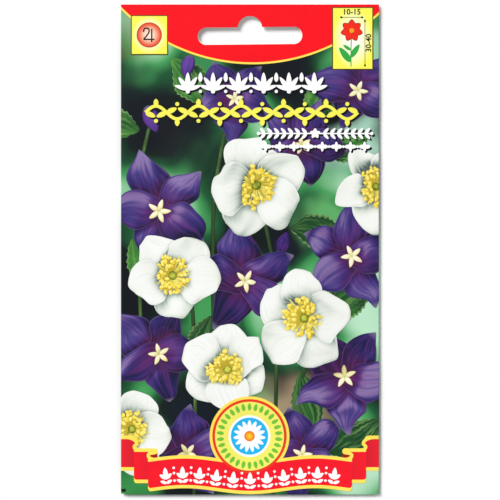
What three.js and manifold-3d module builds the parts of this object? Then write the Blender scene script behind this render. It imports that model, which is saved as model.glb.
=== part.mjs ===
// A seed packet with a hang slot: a printed front sheet whose side and bottom flaps are turned over a back
// sheet and glued to it, and the seeds that lie in the pouch between the two.
// Millimetres, +Z up. The packet lies on its back with +Y towards the hang slot. The origin is under the
// middle of the packet, on the surface that it rests on.

import * as THREE from "three";
import { mergeVertices } from "three/addons/utils/BufferGeometryUtils.js";
import Module from "manifold-3d";

const wasm = await Module();
wasm.setup();

// ---- Driving dimensions -------------------------------------------------------------------------------

const packetWidth = 79;
const packetHeight = 150;

const paper = 0.2; // a sheet of coated paper with its film laminate
const glue = 0.05; // the adhesive between two sheets
const rimLift = 0.7; // the full belly holds the flat rim this far off the surface
const contentsRise = 0.95; // the front sheet swells this far above the rim

const sideMargin = 9; // flat glued margins round the pouch
const bottomMargin = 13;
const headerDepth = 27; // flat header that carries the hang slot
const sideRamp = 14; // width over which the pouch reaches its full depth
const endRamp = 22;

const sideFlap = 8;
const bottomFlap = 12;
const topMitre = 5.5; // how far a side flap's free edge falls short at the packet's top
const bottomMitre = 7.5; // and how far each end of the bottom flap slants in
const mitreGap = 1.6; // between the slanted ends of two flaps

const slotLength = 32; // a standard euro slot
const slotHeight = 5.3;
const crownRadius = 3.75;
const crownRise = 3.4; // the crown's top above the slot's straight edge
const slotBelowTop = 9.6; // from the packet's top edge to the slot's middle line
const slotSkew = THREE.MathUtils.degToRad(0.6); // the punch lands slightly askew
const backSlotShortfall = 0.5; // the back sheet's cut is a little short of the front's, and higher
const backSlotShift = 0.15;

const seedCount = 40;
const seedLength = 2.1;
const seedWidth = 1.2;
const seedClearance = 0.05;
const seedSpacing = 2.35; // least distance between the middles of two seeds
const seedFieldHalfWidth = 15;
const seedFieldBottom = -40;
const seedFieldTop = 6;

// ---- Levels, worked out from the dimensions -----------------------------------------------------------

const halfWidth = packetWidth / 2;
const halfHeight = packetHeight / 2;
const backRimUnder = rimLift + paper + glue;
const frontRimUnder = backRimUnder + paper + glue;
const foldOuter = (frontRimUnder + paper - rimLift) / 2; // a flap's fold is half a ring
const foldInner = foldOuter - paper;
const foldMiddle = rimLift + foldOuter;

const pouchHalfWidth = halfWidth - sideMargin;
const pouchBottom = -halfHeight + bottomMargin;
const pouchTop = halfHeight - headerDepth;
const pouchY = (pouchBottom + pouchTop) / 2;
const pouchHalfLength = (pouchTop - pouchBottom) / 2;

const { smoothstep, lerp } = THREE.MathUtils;

// 0 on the flat rim and 1 where the pouch is full.
function swell(x, y) {
  const acrossPouch = smoothstep(pouchHalfWidth - Math.abs(x), 0, sideRamp);
  return acrossPouch * smoothstep(pouchHalfLength - Math.abs(y - pouchY), 0, endRamp);
}

const backUnder = (x, y) => backRimUnder * (1 - swell(x, y));
const frontUnder = (x, y) => frontRimUnder + contentsRise * swell(x, y);

// ---- Solids -------------------------------------------------------------------------------------------

const gridStep = 1 / 1024; // faces that are meant to meet land on this grid together

function solidFrom(geometry) {
  const bare = geometry.clone();
  bare.deleteAttribute("normal");
  bare.deleteAttribute("uv");
  const place = bare.getAttribute("position");
  place.array.forEach((value, i) => {
    place.array[i] = Math.round(value / gridStep) * gridStep;
  });
  const merged = mergeVertices(bare, 1e-4);
  return new wasm.Manifold(
    new wasm.Mesh({
      numProp: 3,
      vertProperties: merged.getAttribute("position").array,
      triVerts: new Uint32Array(merged.index.array),
    }),
  );
}

function geometryFrom(solid) {
  const mesh = solid.getMesh();
  const geometry = new THREE.BufferGeometry();
  geometry.setAttribute("position", new THREE.BufferAttribute(mesh.vertProperties, 3));
  geometry.setIndex(new THREE.BufferAttribute(mesh.triVerts, 1));
  geometry.computeVertexNormals();
  return geometry;
}

// A sheet of even thickness whose underside follows under(x, y).
function sheetGeometry({ width, height, y = 0, thickness, columns, rows, under }) {
  const geometry = new THREE.BoxGeometry(width, height, thickness, columns, rows, 1);
  geometry.translate(0, y, thickness / 2);
  const place = geometry.getAttribute("position");
  for (let i = 0; i < place.count; i += 1) {
    place.setZ(i, place.getZ(i) + under(place.getX(i), place.getY(i)));
  }
  return geometry;
}

// A euro slot: a long slot with round ends and a round crown on the middle of its upper edge.
function slotCutter(length, shift) {
  const endRadius = slotHeight / 2;
  const endX = length / 2 - endRadius;
  const crownY = endRadius + crownRise - crownRadius;
  const crownStart = Math.asin((endRadius - crownY) / crownRadius);
  const outline = new THREE.Shape();
  outline.moveTo(-endX, -endRadius);
  outline.lineTo(endX, -endRadius);
  outline.absarc(endX, 0, endRadius, -Math.PI / 2, Math.PI / 2);
  outline.absarc(0, crownY, crownRadius, crownStart, Math.PI - crownStart);
  outline.lineTo(-endX, endRadius);
  outline.absarc(-endX, 0, endRadius, Math.PI / 2, Math.PI * 1.5);
  const depth = 4 * (frontRimUnder + paper);
  const geometry = new THREE.ExtrudeGeometry(outline, { depth, bevelEnabled: false, curveSegments: 10 });
  geometry.translate(0, 0, -depth / 2);
  geometry.rotateZ(slotSkew);
  geometry.translate(0, halfHeight - slotBelowTop + shift, 0);
  return solidFrom(geometry);
}

// The half ring of a folded edge along +Y, with a short leg into each sheet.
function foldSolid(bottom, top) {
  const leg = 3 * paper;
  const profile = new THREE.Shape();
  profile.moveTo(-leg, -foldOuter);
  profile.absarc(0, 0, foldOuter, -Math.PI / 2, Math.PI / 2);
  profile.lineTo(-leg, foldOuter);
  profile.lineTo(-leg, foldInner);
  profile.absarc(0, 0, foldInner, Math.PI / 2, -Math.PI / 2, true);
  profile.lineTo(-leg, -foldInner);
  const shape = { depth: top - bottom, bevelEnabled: false, curveSegments: 5 };
  const geometry = new THREE.ExtrudeGeometry(profile, shape);
  geometry.rotateX(Math.PI / 2);
  geometry.translate(halfWidth - foldOuter, top, foldMiddle);
  return solidFrom(geometry);
}

// A flat flap under the back sheet, from its corners in order.
function flapSolid(corners) {
  const outline = new THREE.Shape(corners.map(([x, y]) => new THREE.Vector2(x, y)));
  const geometry = new THREE.ExtrudeGeometry(outline, { depth: paper, bevelEnabled: false });
  geometry.translate(0, 0, rimLift);
  return solidFrom(geometry);
}

function sideFlapSolid() {
  const foldX = halfWidth - foldOuter;
  const innerX = halfWidth - sideFlap;
  const bottom = -halfHeight + bottomFlap + mitreGap;
  return flapSolid([
    [foldX, bottom - (foldX - innerX)],
    [foldX, halfHeight],
    [innerX, halfHeight - topMitre],
    [innerX, bottom],
  ]);
}

function bottomFlapSolid() {
  const foldY = -halfHeight + foldOuter;
  const outerX = halfWidth - foldOuter * 3;
  const innerX = outerX - bottomMitre;
  const top = -halfHeight + bottomFlap;
  return flapSolid([
    [-outerX, foldY],
    [outerX, foldY],
    [innerX, top],
    [-innerX, top],
  ]);
}

// ---- The packet's pieces ------------------------------------------------------------------------------

const finishes = {
  printedPaper: new THREE.MeshStandardMaterial({ color: 0x2f6d47, roughness: 0.32, metalness: 0 }),
  whitePaper: new THREE.MeshStandardMaterial({ color: 0xf3f1ea, roughness: 0.6, metalness: 0 }),
  seedCoat: new THREE.MeshStandardMaterial({ color: 0x17120f, roughness: 0.3, metalness: 0 }),
};

const sheetColumns = 20;
const sheetRows = 38;
const packet = new THREE.Group();

function addPiece(name, geometry, finish) {
  const piece = new THREE.Mesh(geometry, finish);
  piece.name = name;
  packet.add(piece);
  return piece;
}

function frontSheet() {
  const panel = solidFrom(
    sheetGeometry({
      width: packetWidth - 2 * foldOuter,
      height: packetHeight - foldOuter,
      y: foldOuter / 2,
      thickness: paper,
      columns: sheetColumns,
      rows: sheetRows,
      under: frontUnder,
    }),
  );
  const rightFold = foldSolid(-halfHeight + foldOuter, halfHeight);
  const leftFold = rightFold.mirror([1, 0, 0]);
  const bottomFold = foldSolid(-halfWidth + 3 * foldOuter, halfWidth - 3 * foldOuter)
    .rotate([0, 0, -90])
    .translate([0, halfWidth - halfHeight, 0]);
  const rightFlap = sideFlapSolid();
  const leftFlap = rightFlap.mirror([1, 0, 0]);
  const folded = [rightFold, leftFold, bottomFold, rightFlap, leftFlap, bottomFlapSolid()];
  const whole = folded.reduce((sheet, part) => sheet.add(part), panel);
  return geometryFrom(whole.subtract(slotCutter(slotLength, 0)));
}

function backSheet() {
  const panel = solidFrom(
    sheetGeometry({
      width: packetWidth - 3 * foldOuter,
      height: packetHeight - 2 * foldOuter,
      y: foldOuter,
      thickness: paper,
      columns: sheetColumns,
      rows: sheetRows,
      under: backUnder,
    }),
  );
  return geometryFrom(panel.subtract(slotCutter(slotLength - backSlotShortfall, backSlotShift)));
}

// An ovoid seed lying along X, blunt at one end and pointed at the other.
function seedGeometry() {
  const steps = 6;
  const profile = [];
  for (let i = 0; i <= steps; i += 1) {
    const along = (i / steps) * Math.PI;
    const radius = (seedWidth / 2) * Math.sin(along) * (1 + 0.22 * Math.cos(along));
    profile.push(new THREE.Vector2(Math.max(radius, 0), (-seedLength / 2) * Math.cos(along)));
  }
  profile[0].x = 0;
  profile[steps].x = 0;
  return new THREE.LatheGeometry(profile, 8).rotateZ(Math.PI / 2);
}

// A small repeatable random source.
function randomSource(seed) {
  let state = seed;
  return () => {
    state = (state * 1664525 + 1013904223) % 4294967296;
    return state / 4294967296;
  };
}

// The seeds have slid towards the pouch's lower end, and lie in one layer without touching.
function seedPlaces() {
  const random = randomSource(7);
  const places = [];
  while (places.length < seedCount) {
    const x = (random() * 2 - 1) * seedFieldHalfWidth;
    const y = lerp(seedFieldBottom, seedFieldTop, random() ** 1.6);
    const turn = random() * Math.PI;
    if (places.every((other) => Math.hypot(other.x - x, other.y - y) > seedSpacing)) {
      places.push({ x, y, turn });
    }
  }
  return places;
}

addPiece("front_sheet", frontSheet(), finishes.printedPaper);
addPiece("back_sheet", backSheet(), finishes.whitePaper);

seedPlaces().forEach(({ x, y, turn }, index) => {
  const seed = addPiece(`seed_${String(index + 1).padStart(2, "0")}`, seedGeometry(), finishes.seedCoat);
  const fullestRadius = 0.5 * seedWidth * 1.04;
  seed.position.set(x, y, paper + seedClearance + fullestRadius);
  seed.rotation.z = turn;
});

export default packet;
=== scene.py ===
"""A flower-seed packet that lies on its back: the folded paper, the print on it, and the seeds inside.

Every piece is modelled in millimetres and brought to metres when it is finished. The picture's flowers are
modelled in the round, lit by code, and then pressed flat on the paper.
"""

import logging
import math
import random
from abc import ABC, abstractmethod
from collections.abc import Callable, Iterator, Sequence
from contextlib import contextmanager
from dataclasses import dataclass, field
from enum import Enum
from typing import ClassVar

import bmesh
import bpy
from mathutils import Matrix, Vector, noise
from mathutils.bvhtree import BVHTree


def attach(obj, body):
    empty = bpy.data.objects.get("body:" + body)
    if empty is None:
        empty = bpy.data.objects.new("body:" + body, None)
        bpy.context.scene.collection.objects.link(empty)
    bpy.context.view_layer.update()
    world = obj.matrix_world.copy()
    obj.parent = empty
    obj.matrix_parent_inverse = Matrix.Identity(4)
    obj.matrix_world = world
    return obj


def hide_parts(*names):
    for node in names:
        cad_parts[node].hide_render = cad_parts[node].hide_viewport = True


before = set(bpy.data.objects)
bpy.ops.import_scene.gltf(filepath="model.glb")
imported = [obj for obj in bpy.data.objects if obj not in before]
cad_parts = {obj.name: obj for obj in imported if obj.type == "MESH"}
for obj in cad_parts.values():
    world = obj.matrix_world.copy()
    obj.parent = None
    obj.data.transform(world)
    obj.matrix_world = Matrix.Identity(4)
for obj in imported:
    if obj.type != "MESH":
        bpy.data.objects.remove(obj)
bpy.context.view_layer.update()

log = logging.getLogger("seed_packet")

METRES_PER_MM = 0.001
PRINT_HALF_WIDTH = 39.45  # the print stops just short of the outermost line of the side folds
LIGHT = "painted_light"  # the attribute that holds how much light falls on each point of the picture
GOLDEN_TURN = 2.39996  # radians between one stamen or ray and the next, so that they spread evenly
UP = Vector((0.0, 0.0, 1.0))
SUN = Vector((-0.45, 0.6, 0.9)).normalized()
ON_CUT = 1e-5  # how near a cut a corner counts as on it, in millimetres
TOUCHING = 1e-4  # corners of a drawn line that are nearer than this become one, in millimetres
TYPE_TOUCHING = 0.004  # the same for the corners of a printed number
LEAF_SIDES = 20
LEAF_TAPER = 0.2  # how much narrower a flat leaf grows from its middle to its tip

Piece = bpy.types.Object
Socket = bpy.types.NodeSocket
Point = tuple[float, float]
Stops = tuple[tuple[float, str], ...]  # places on a colour ramp, each with its hex colour
Wash = tuple[str, float]  # a hex colour and how strongly it is laid on
Key = int | str  # the number or name of a node's input or output
Cut = tuple[float, float, float]  # a leaf's length, width and point


# ---- Hand tools ---------------------------------------------------------------------------------------


class Pick(Enum):
    """What a selection in edit mode is made of."""

    VERTICES = "VERT"
    EDGES = "EDGE"
    FACES = "FACE"


def take_up(*pieces: Piece) -> None:
    """Selects these pieces and nothing else, with the last one active.

    Args:
        pieces: The objects to select.
    """
    bpy.ops.object.select_all(action="DESELECT")
    for piece in pieces:
        piece.select_set(True)
    bpy.context.view_layer.objects.active = pieces[-1]


@contextmanager
def shaping(piece: Piece) -> Iterator[None]:
    """Holds a piece in edit mode, at first with all of it selected.

    Args:
        piece: The mesh object to edit.
    """
    take_up(piece)
    bpy.ops.object.mode_set(mode="EDIT")
    bpy.ops.mesh.select_all(action="SELECT")
    yield
    bpy.ops.object.mode_set(mode="OBJECT")


def pick(piece: Piece, kind: Pick, test: Callable[[Vector], bool]) -> None:
    """Selects the parts of a piece in edit mode that pass a test, hidden ones aside.

    Args:
        piece: The object in edit mode.
        kind: Vertices, edges or faces.
        test: Takes a place. An edge is tested at both ends, and a face at its middle.
    """
    bpy.ops.mesh.select_mode(type=kind.value)
    bpy.ops.mesh.select_all(action="DESELECT")
    mesh = bmesh.from_edit_mesh(piece.data)
    if kind is Pick.FACES:
        parts = [(face, [face.calc_center_median()]) for face in mesh.faces]
    elif kind is Pick.EDGES:
        parts = [(edge, [vertex.co for vertex in edge.verts]) for edge in mesh.edges]
    else:
        parts = [(vertex, [vertex.co]) for vertex in mesh.verts]
    for part, places in parts:
        if not part.hide and all(test(place) for place in places):
            part.select_set(True)
    mesh.select_flush_mode()
    bmesh.update_edit_mesh(piece.data)


def fresh(name: str) -> Piece:
    """Names the primitive that was just added, and puts its place in its data.

    Args:
        name: The piece's name.

    Returns:
        The object.
    """
    piece = bpy.context.active_object
    piece.name = piece.data.name = name
    piece.data.transform(piece.matrix_basis)
    piece.matrix_basis = Matrix.Identity(4)
    return piece


def work_in(piece: Piece, kind: str, **settings: object) -> None:
    """Adds a modifier to a piece and applies it.

    Args:
        piece: The object.
        kind: The modifier's type.
        settings: The modifier's settings.
    """
    take_up(piece)
    modifier = piece.modifiers.new(kind.title(), kind)
    for name, value in settings.items():
        setattr(modifier, name, value)
    bpy.ops.object.modifier_apply(modifier=modifier.name)


def raised(blank: Piece) -> Piece:
    """Makes a flat shape a solid of height 1, and gives it back."""
    work_in(blank, "SOLIDIFY", thickness=1.0, offset=1.0)
    return blank


def copied(master: Piece, place: Matrix) -> Piece:
    """Copies a piece with a mesh of its own.

    Args:
        master: The object to copy.
        place: Where the copy's mesh goes.

    Returns:
        The copy.
    """
    copy = bpy.data.objects.new(master.name, master.data.copy())
    bpy.context.scene.collection.objects.link(copy)
    copy.data.transform(place)
    return copy


def laid(places: Sequence[tuple[Piece, Matrix]]) -> list[Piece]:
    """Copies masters to their places, and then removes the masters.

    Args:
        places: The master and the place of each copy.

    Returns:
        The copies.
    """
    copies = [copied(master, place) for master, place in places]
    put_away(*{master for master, _ in places})
    return copies


def put_away(*pieces: Piece) -> None:
    """Removes pieces that are of no more use."""
    for piece in pieces:
        bpy.data.objects.remove(piece)


def joined(name: str, pieces: Sequence[Piece]) -> Piece:
    """Joins pieces into one object.

    Args:
        name: The name of the whole.
        pieces: The objects to join.

    Returns:
        The whole.
    """
    take_up(*pieces)
    bpy.ops.object.join()
    return fresh(name)


def cut_off(piece: Piece, point: Point, outwards: Point, fill: bool = True) -> None:
    """Cuts away what lies past an upright plane.

    Args:
        piece: The object.
        point: A point of the plane, in plan.
        outwards: The plane's normal in plan, on the side that goes.
        fill: Whether the cut is closed, as a solid's must be.
    """
    plane = {"plane_co": (*point, 0.0), "plane_no": (*outwards, 0.0)}
    with shaping(piece):
        bpy.ops.mesh.bisect(**plane, use_fill=fill, clear_outer=True, threshold=ON_CUT)
        if fill:
            bpy.ops.mesh.select_all(action="SELECT")
            bpy.ops.mesh.normals_make_consistent(inside=False)


def slice_at(piece: Piece, axis: int, places: Sequence[float]) -> None:
    """Adds edges to a piece where planes across an axis meet it.

    Args:
        piece: The object.
        axis: 0, 1 or 2 for X, Y or Z.
        places: The planes' places along the axis.
    """
    normal = Vector([float(i == axis) for i in range(3)])
    with shaping(piece):
        for place in places:
            bpy.ops.mesh.select_all(action="SELECT")
            bpy.ops.mesh.bisect(plane_co=normal * place, plane_no=normal)


def score(piece: Piece, step: float) -> None:
    """Scores a flat piece both ways, so that it can follow the swell of the paper.

    Args:
        piece: The object.
        step: The distance between scores.
    """
    for axis in (0, 1):
        reach = [vertex.co[axis] for vertex in piece.data.vertices]
        low, high = min(reach), max(reach)
        slice_at(piece, axis, [low + i * step for i in range(1, math.ceil((high - low) / step))])


def shift(x: float = 0.0, y: float = 0.0, z: float = 0.0) -> Matrix:
    """Gives a move."""
    return Matrix.Translation((x, y, z))


def turned(degrees: float, axis: str = "Z") -> Matrix:
    """Gives a turn about an axis through the origin."""
    return Matrix.Rotation(math.radians(degrees), 4, axis)


def plan(x: float, y: float, turn: float = 0.0, size: float = 1.0) -> Matrix:
    """Gives a place on the sheet, with a turn in degrees and an enlargement that keeps the height."""
    return shift(x, y) @ turned(turn) @ Matrix.Diagonal((size, size, 1.0, 1.0))


def halfway(start: Point, end: Point) -> Point:
    """Gives the point between two others."""
    return (start[0] + end[0]) / 2, (start[1] + end[1]) / 2


def disc(name: str, centre: Point, radius: float, sides: int = 96) -> Piece:
    """Cuts a flat disc and gives it back."""
    bpy.ops.mesh.primitive_circle_add(vertices=sides, radius=radius, fill_type="NGON", location=(*centre, 0))
    return fresh(name)


def tile(name: str, low: Point, high: Point, columns: int = 1, rows: int = 1) -> Piece:
    """Cuts a flat rectangle, ruled into cells.

    Args:
        name: The rectangle's name.
        low: Its lower left corner.
        high: Its upper right corner.
        columns: The number of cells across.
        rows: The number of cells up.

    Returns:
        The rectangle.
    """
    bpy.ops.mesh.primitive_grid_add(x_subdivisions=columns, y_subdivisions=rows, size=1.0)
    made = fresh(name)
    size = Matrix.Diagonal((high[0] - low[0], high[1] - low[1], 1.0, 1.0))
    made.data.transform(shift(*halfway(low, high)) @ size)
    return made


def leaf_blank(name: str, length: float, width: float, point: float) -> Piece:
    """Cuts a flat leaf that grows along +Y from the origin.

    Args:
        name: The leaf's name.
        length: Its length.
        width: Its greatest width.
        point: How pointed it is. At 1 it is an oval.

    Returns:
        The leaf.
    """
    leaf = disc(name, (0.0, 0.0), 1.0, LEAF_SIDES)
    for vertex in leaf.data.vertices:
        out = math.copysign(abs(vertex.co.x) ** point, vertex.co.x)
        vertex.co.x = out * (1 - LEAF_TAPER * vertex.co.y) * width / 2
        vertex.co.y = (vertex.co.y + 1) * length / 2
    return leaf


def smooth_line(name: str, path: Sequence[Sequence[float]], steps: int, **settings: object) -> Piece:
    """Draws a smooth curve and turns it into a mesh.

    Args:
        name: The line's name.
        path: The points that draw the curve, in space.
        steps: How finely the mesh follows the curve.
        settings: The curve's settings, such as its bevel.

    Returns:
        The line.
    """
    bpy.ops.curve.primitive_nurbs_path_add()
    line = fresh(name)
    line.data.splines.clear()
    spline = line.data.splines.new("NURBS")
    spline.points.add(len(path) - 1)
    for point, place in zip(spline.points, path, strict=True):
        point.co = (*place, 1.0)
    spline.use_endpoint_u, spline.order_u, spline.resolution_u = True, 3, steps
    for setting, value in settings.items():
        setattr(line.data, setting, value)
    take_up(line)
    bpy.ops.object.convert(target="MESH")
    line = fresh(name)
    with shaping(line):
        bpy.ops.mesh.remove_doubles(threshold=TOUCHING)
    return line


def stroke(name: str, path: Sequence[Point], width: float) -> Piece:
    """Draws a line of even width along a smooth curve, as a wall of height 1.

    Args:
        name: The line's name.
        path: The points that draw the curve.
        width: The line's width.

    Returns:
        The line, a closed solid.
    """
    line = smooth_line(name, [(*point, 0.0) for point in path], steps=5)
    with shaping(line):
        bpy.ops.mesh.extrude_region_move(TRANSFORM_OT_translate={"value": (0.0, 0.0, 1.0)})
    work_in(line, "SOLIDIFY", thickness=width, offset=0.0, use_even_offset=True)
    return line


def numeral(value: str, size: float, centre: Point, turn: float = 0.0, weight: float = 0.0) -> Piece:
    """Sets a plain number as a solid of height 1.

    Args:
        value: The number, or a range of numbers.
        size: The height of its line.
        centre: Where its middle goes.
        turn: How far it is turned, in degrees.
        weight: How far its outline is moved out.

    Returns:
        The number.
    """
    bpy.ops.object.text_add()
    text = bpy.context.active_object
    text.data.body, text.data.size, text.data.extrude, text.data.offset = value, size, 0.5, weight
    text.data.align_x, text.data.align_y, text.data.resolution_u = "CENTER", "CENTER", 3
    bpy.ops.object.convert(target="MESH")
    number = fresh(f"number_{value}")
    with shaping(number):
        bpy.ops.mesh.remove_doubles(threshold=TYPE_TOUCHING)
    number.data.transform(shift(*centre, 0.5) @ turned(turn))
    return number


def stacked(parts: Sequence[Piece], step: float = 0.02, levels: int = 6) -> Sequence[Piece]:
    """Steps the tops of overlapping solids of height 1, so that no two are flush.

    Args:
        parts: The solids.
        step: The difference in height between one and the next.
        levels: The number of heights before they repeat. The first solid is higher than all the others.

    Returns:
        The solids.
    """
    for number, part in enumerate(parts[1:]):
        part.data.transform(Matrix.Diagonal((1.0, 1.0, 1.0 - step * (1 + number % levels), 1.0)))
    return parts


# ---- Colour and nodes ---------------------------------------------------------------------------------


def linear(code: str) -> tuple[float, float, float, float]:
    """Turns an sRGB hex colour to linear light.

    Args:
        code: Six hex digits after a #.

    Returns:
        Red, green, blue and an alpha of 1.
    """
    parts = [int(code[i : i + 2], 16) / 255 for i in (1, 3, 5)]
    light = [part / 12.92 if part <= 0.04045 else ((part + 0.055) / 1.055) ** 2.4 for part in parts]
    return light[0], light[1], light[2], 1.0


class Nodes:
    """A new material's nodes. Most methods add a node and give back its output."""

    def __init__(self, name: str) -> None:
        """Starts a material.

        Args:
            name: The material's name.
        """
        self.material = bpy.data.materials.new(name)
        self.material.use_nodes = True
        self.tree = self.material.node_tree
        self.shader = self.tree.nodes["Principled BSDF"]

    def feed(self, node: bpy.types.Node, links: dict[Key, object]) -> None:
        """Fills a node's inputs.

        Args:
            node: The node.
            links: Each input's name or number, and the output or value that it takes.
        """
        for key, value in links.items():
            if isinstance(value, Socket):
                self.tree.links.new(value, node.inputs[key])
            else:
                node.inputs[key].default_value = value

    def add(self, kind: str, links: dict[Key, object], out: Key = 0, **settings: object) -> Socket:
        """Adds a node of any kind.

        Args:
            kind: The node's type, without the words ShaderNode.
            links: Each input's name or number, and the output or value that it takes.
            out: The name or number of the output that is wanted.
            settings: The node's own settings.

        Returns:
            The output.
        """
        made = self.tree.nodes.new(f"ShaderNode{kind}")
        for name, value in settings.items():
            setattr(made, name, value)
        self.feed(made, links)
        return made.outputs[out]

    def place(self) -> Socket:
        """Adds the place on the piece, in metres."""
        return self.add("TexCoord", {}, "Object")

    def math(self, operation: str, *values: object) -> Socket:
        """Adds a sum of numbers."""
        return self.add("Math", dict(enumerate(values)), operation=operation)

    def vector(self, operation: str, *values: object, out: Key = 0) -> Socket:
        """Adds a sum of vectors."""
        return self.add("VectorMath", dict(enumerate(values)), out, operation=operation)

    def away(self, place: Socket, centre: Point) -> Socket:
        """Adds the distance, in metres, of a place from a point that is in millimetres."""
        middle = (centre[0] * METRES_PER_MM, centre[1] * METRES_PER_MM, 0.0)
        return self.vector("DISTANCE", place, middle, out="Value")

    def ranged(self, value: Socket, start: Point, end: Point, **settings: object) -> Socket:
        """Adds a change of range: from one pair of numbers to another."""
        return self.add("MapRange", dict(enumerate((value, *start, *end))), **settings)

    def mix(self, amount: object, under: object, over: object, **settings: object) -> Socket:
        """Adds a mix of two colours."""
        return self.add("Mix", {0: amount, 6: under, 7: over}, 2, data_type="RGBA", **settings)

    def ramp(self, value: Socket, stops: Stops) -> Socket:
        """Adds a colour ramp.

        Args:
            value: The place on the ramp.
            stops: The ramp's colours.

        Returns:
            The colour.
        """
        colour = self.add("ValToRGB", {"Fac": value})
        elements = colour.node.color_ramp.elements
        while len(elements) < len(stops):
            elements.new(1.0)
        for element, (place, code) in zip(elements, stops, strict=True):
            element.position, element.color = place, linear(code)
        return colour

    def bump(self, height: Socket, strength: float, distance: float) -> None:
        """Gives the surface a fine relief."""
        relief = self.add("Bump", {"Height": height, "Strength": strength, "Distance": distance})
        self.feed(self.shader, {"Normal": relief})


@dataclass(frozen=True)
class Finish(ABC):
    """A surface of one material. Print lies under a clear film, so it is smooth, with a weak shine."""

    name: str
    roughness: ClassVar[float] = 0.38
    specular: ClassVar[float] = 0.2

    @abstractmethod
    def paint(self, nodes: Nodes) -> object:
        """Builds the colour.

        Args:
            nodes: The material's nodes.

        Returns:
            The colour, as a value or an output.
        """

    def material(self) -> bpy.types.Material:
        """Builds the material, unless it is built already.

        Returns:
            The material.
        """
        if found := bpy.data.materials.get(self.name):
            return found
        nodes = Nodes(self.name)
        colour = self.paint(nodes)
        links = {"Base Color": colour, "Roughness": self.roughness, "Specular IOR Level": self.specular}
        nodes.feed(nodes.shader, links)
        return nodes.material


def coat(piece: Piece, *finishes: Finish) -> None:
    """Gives a piece its materials.

    Args:
        piece: The object.
        finishes: The finishes, in the order of the faces' material numbers.
    """
    numbers = [face.material_index for face in piece.data.polygons]
    piece.data.materials.clear()
    for finish in finishes:
        piece.data.materials.append(finish.material())
    piece.data.polygons.foreach_set("material_index", numbers)


@dataclass(frozen=True)
class PlainInk(Finish):
    """One solid ink on glossy laminated paper: even in colour, with the faint unevenness of offset print."""

    colour: str
    unevenness: float = 0.04
    blotches: ClassVar[float] = 250.0  # about 4 mm across, where ink lay thicker on the sheet
    blotch_span: ClassVar[Point] = (0.3, 0.7)

    def paint(self, nodes: Nodes) -> Socket:
        """Builds the ink's colour.

        Args:
            nodes: The material's nodes.

        Returns:
            The colour.
        """
        blotch = nodes.add("TexNoise", {"Vector": nodes.place(), "Scale": self.blotches, "Detail": 2.0})
        strength = nodes.ranged(blotch, self.blotch_span, (1.0 - self.unevenness, 1.0 + self.unevenness))
        return nodes.mix(1.0, linear(self.colour), strength, blend_type="MULTIPLY")


@dataclass(frozen=True)
class GlowInk(Finish):
    """Inks that blend outwards from a middle point, as a printed glow does. Sizes in millimetres."""

    centre: Point
    reach: Point
    stops: Stops

    def paint(self, nodes: Nodes) -> Socket:
        """Builds the glow.

        Args:
            nodes: The material's nodes.

        Returns:
            The colour.
        """
        scale = [1.0 / (size * METRES_PER_MM) for size in self.reach]
        offset = [-c * METRES_PER_MM * s for c, s in zip(self.centre, scale, strict=True)]
        links = {"Vector": nodes.place(), "Location": (*offset, 0.0), "Scale": (*scale, 0.0)}
        return nodes.ramp(nodes.vector("LENGTH", nodes.add("Mapping", links), out="Value"), self.stops)


@dataclass(frozen=True)
class PetalInk(Finish):
    """The print of a petal or leaf: a ramp from shade to light, with streaks that run along it."""

    shades: Stops
    streak: Wash = ("#000000", 0.0)
    streaks: float = 14.0
    depth: float = 0.12
    base: Wash = ("#000000", 0.0)
    base_reach: float = 0.4
    tip: Wash = ("#ffffff", 0.0)
    rim: Wash = ("#ffffff", 0.0)
    streak_stretch: ClassVar[float] = 1.6
    flower_shift: ClassVar[float] = 90.0
    line_span: ClassVar[Point] = (0.25, 0.75)
    streak_span: ClassVar[Point] = (0.5, 0.72)
    tip_span: ClassVar[Point] = (0.9, 1.0)
    rim_span: ClassVar[Point] = (0.46, 0.5)
    edge_base: ClassVar[float] = 0.25  # the share of the base's wash that reaches the petal's edges

    def paint(self, nodes: Nodes) -> Socket:
        """Builds the petal's colours, from its light, its own length and width, and its streaks.

        Args:
            nodes: The material's nodes.

        Returns:
            The colour.
        """
        own = nodes.add("UVMap", {}, uv_map="UVMap")
        across = nodes.add("SeparateXYZ", {0: own})
        along = across.node.outputs["Y"]
        off_middle = nodes.math("ABSOLUTE", nodes.math("SUBTRACT", across, 0.5))
        light = nodes.add("Attribute", {}, "Fac", attribute_name=LIGHT)
        # Each flower's streaks differ, because its place on the sheet shifts them.
        apart = nodes.vector("MULTIPLY", nodes.place(), (self.flower_shift, self.flower_shift, 0.0))
        drawn = nodes.vector("MULTIPLY_ADD", own, (self.streaks, self.streak_stretch, 0.0), apart)
        lines = nodes.add("TexNoise", {"Vector": drawn, "Scale": 1.0, "Detail": 2.0})
        uneven = nodes.ranged(lines, self.line_span, (-self.depth, self.depth))
        colour = nodes.ramp(nodes.math("ADD", light, uneven), self.shades)
        low = nodes.ranged(along, (self.base_reach, 0.0), (0.0, self.base[1]))
        rooted = nodes.math("MULTIPLY", low, nodes.ranged(off_middle, (0.5, 0.0), (self.edge_base, 1.0)))
        washes = (
            (nodes.ranged(lines, self.streak_span, (0.0, self.streak[1])), self.streak),
            (rooted, self.base),
            (nodes.ranged(along, self.tip_span, (0.0, self.tip[1])), self.tip),
            (nodes.ranged(off_middle, self.rim_span, (0.0, self.rim[1])), self.rim),
        )
        for amount, (code, _) in washes:
            colour = nodes.mix(amount, colour, linear(code))
        return colour


@dataclass(frozen=True)
class Blur:
    """A soft spot of colour in the blurred distance behind the flowers. Sizes in millimetres."""

    centre: Point
    radius: float
    colour: str
    strength: float
    softness: float = 0.5


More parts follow.
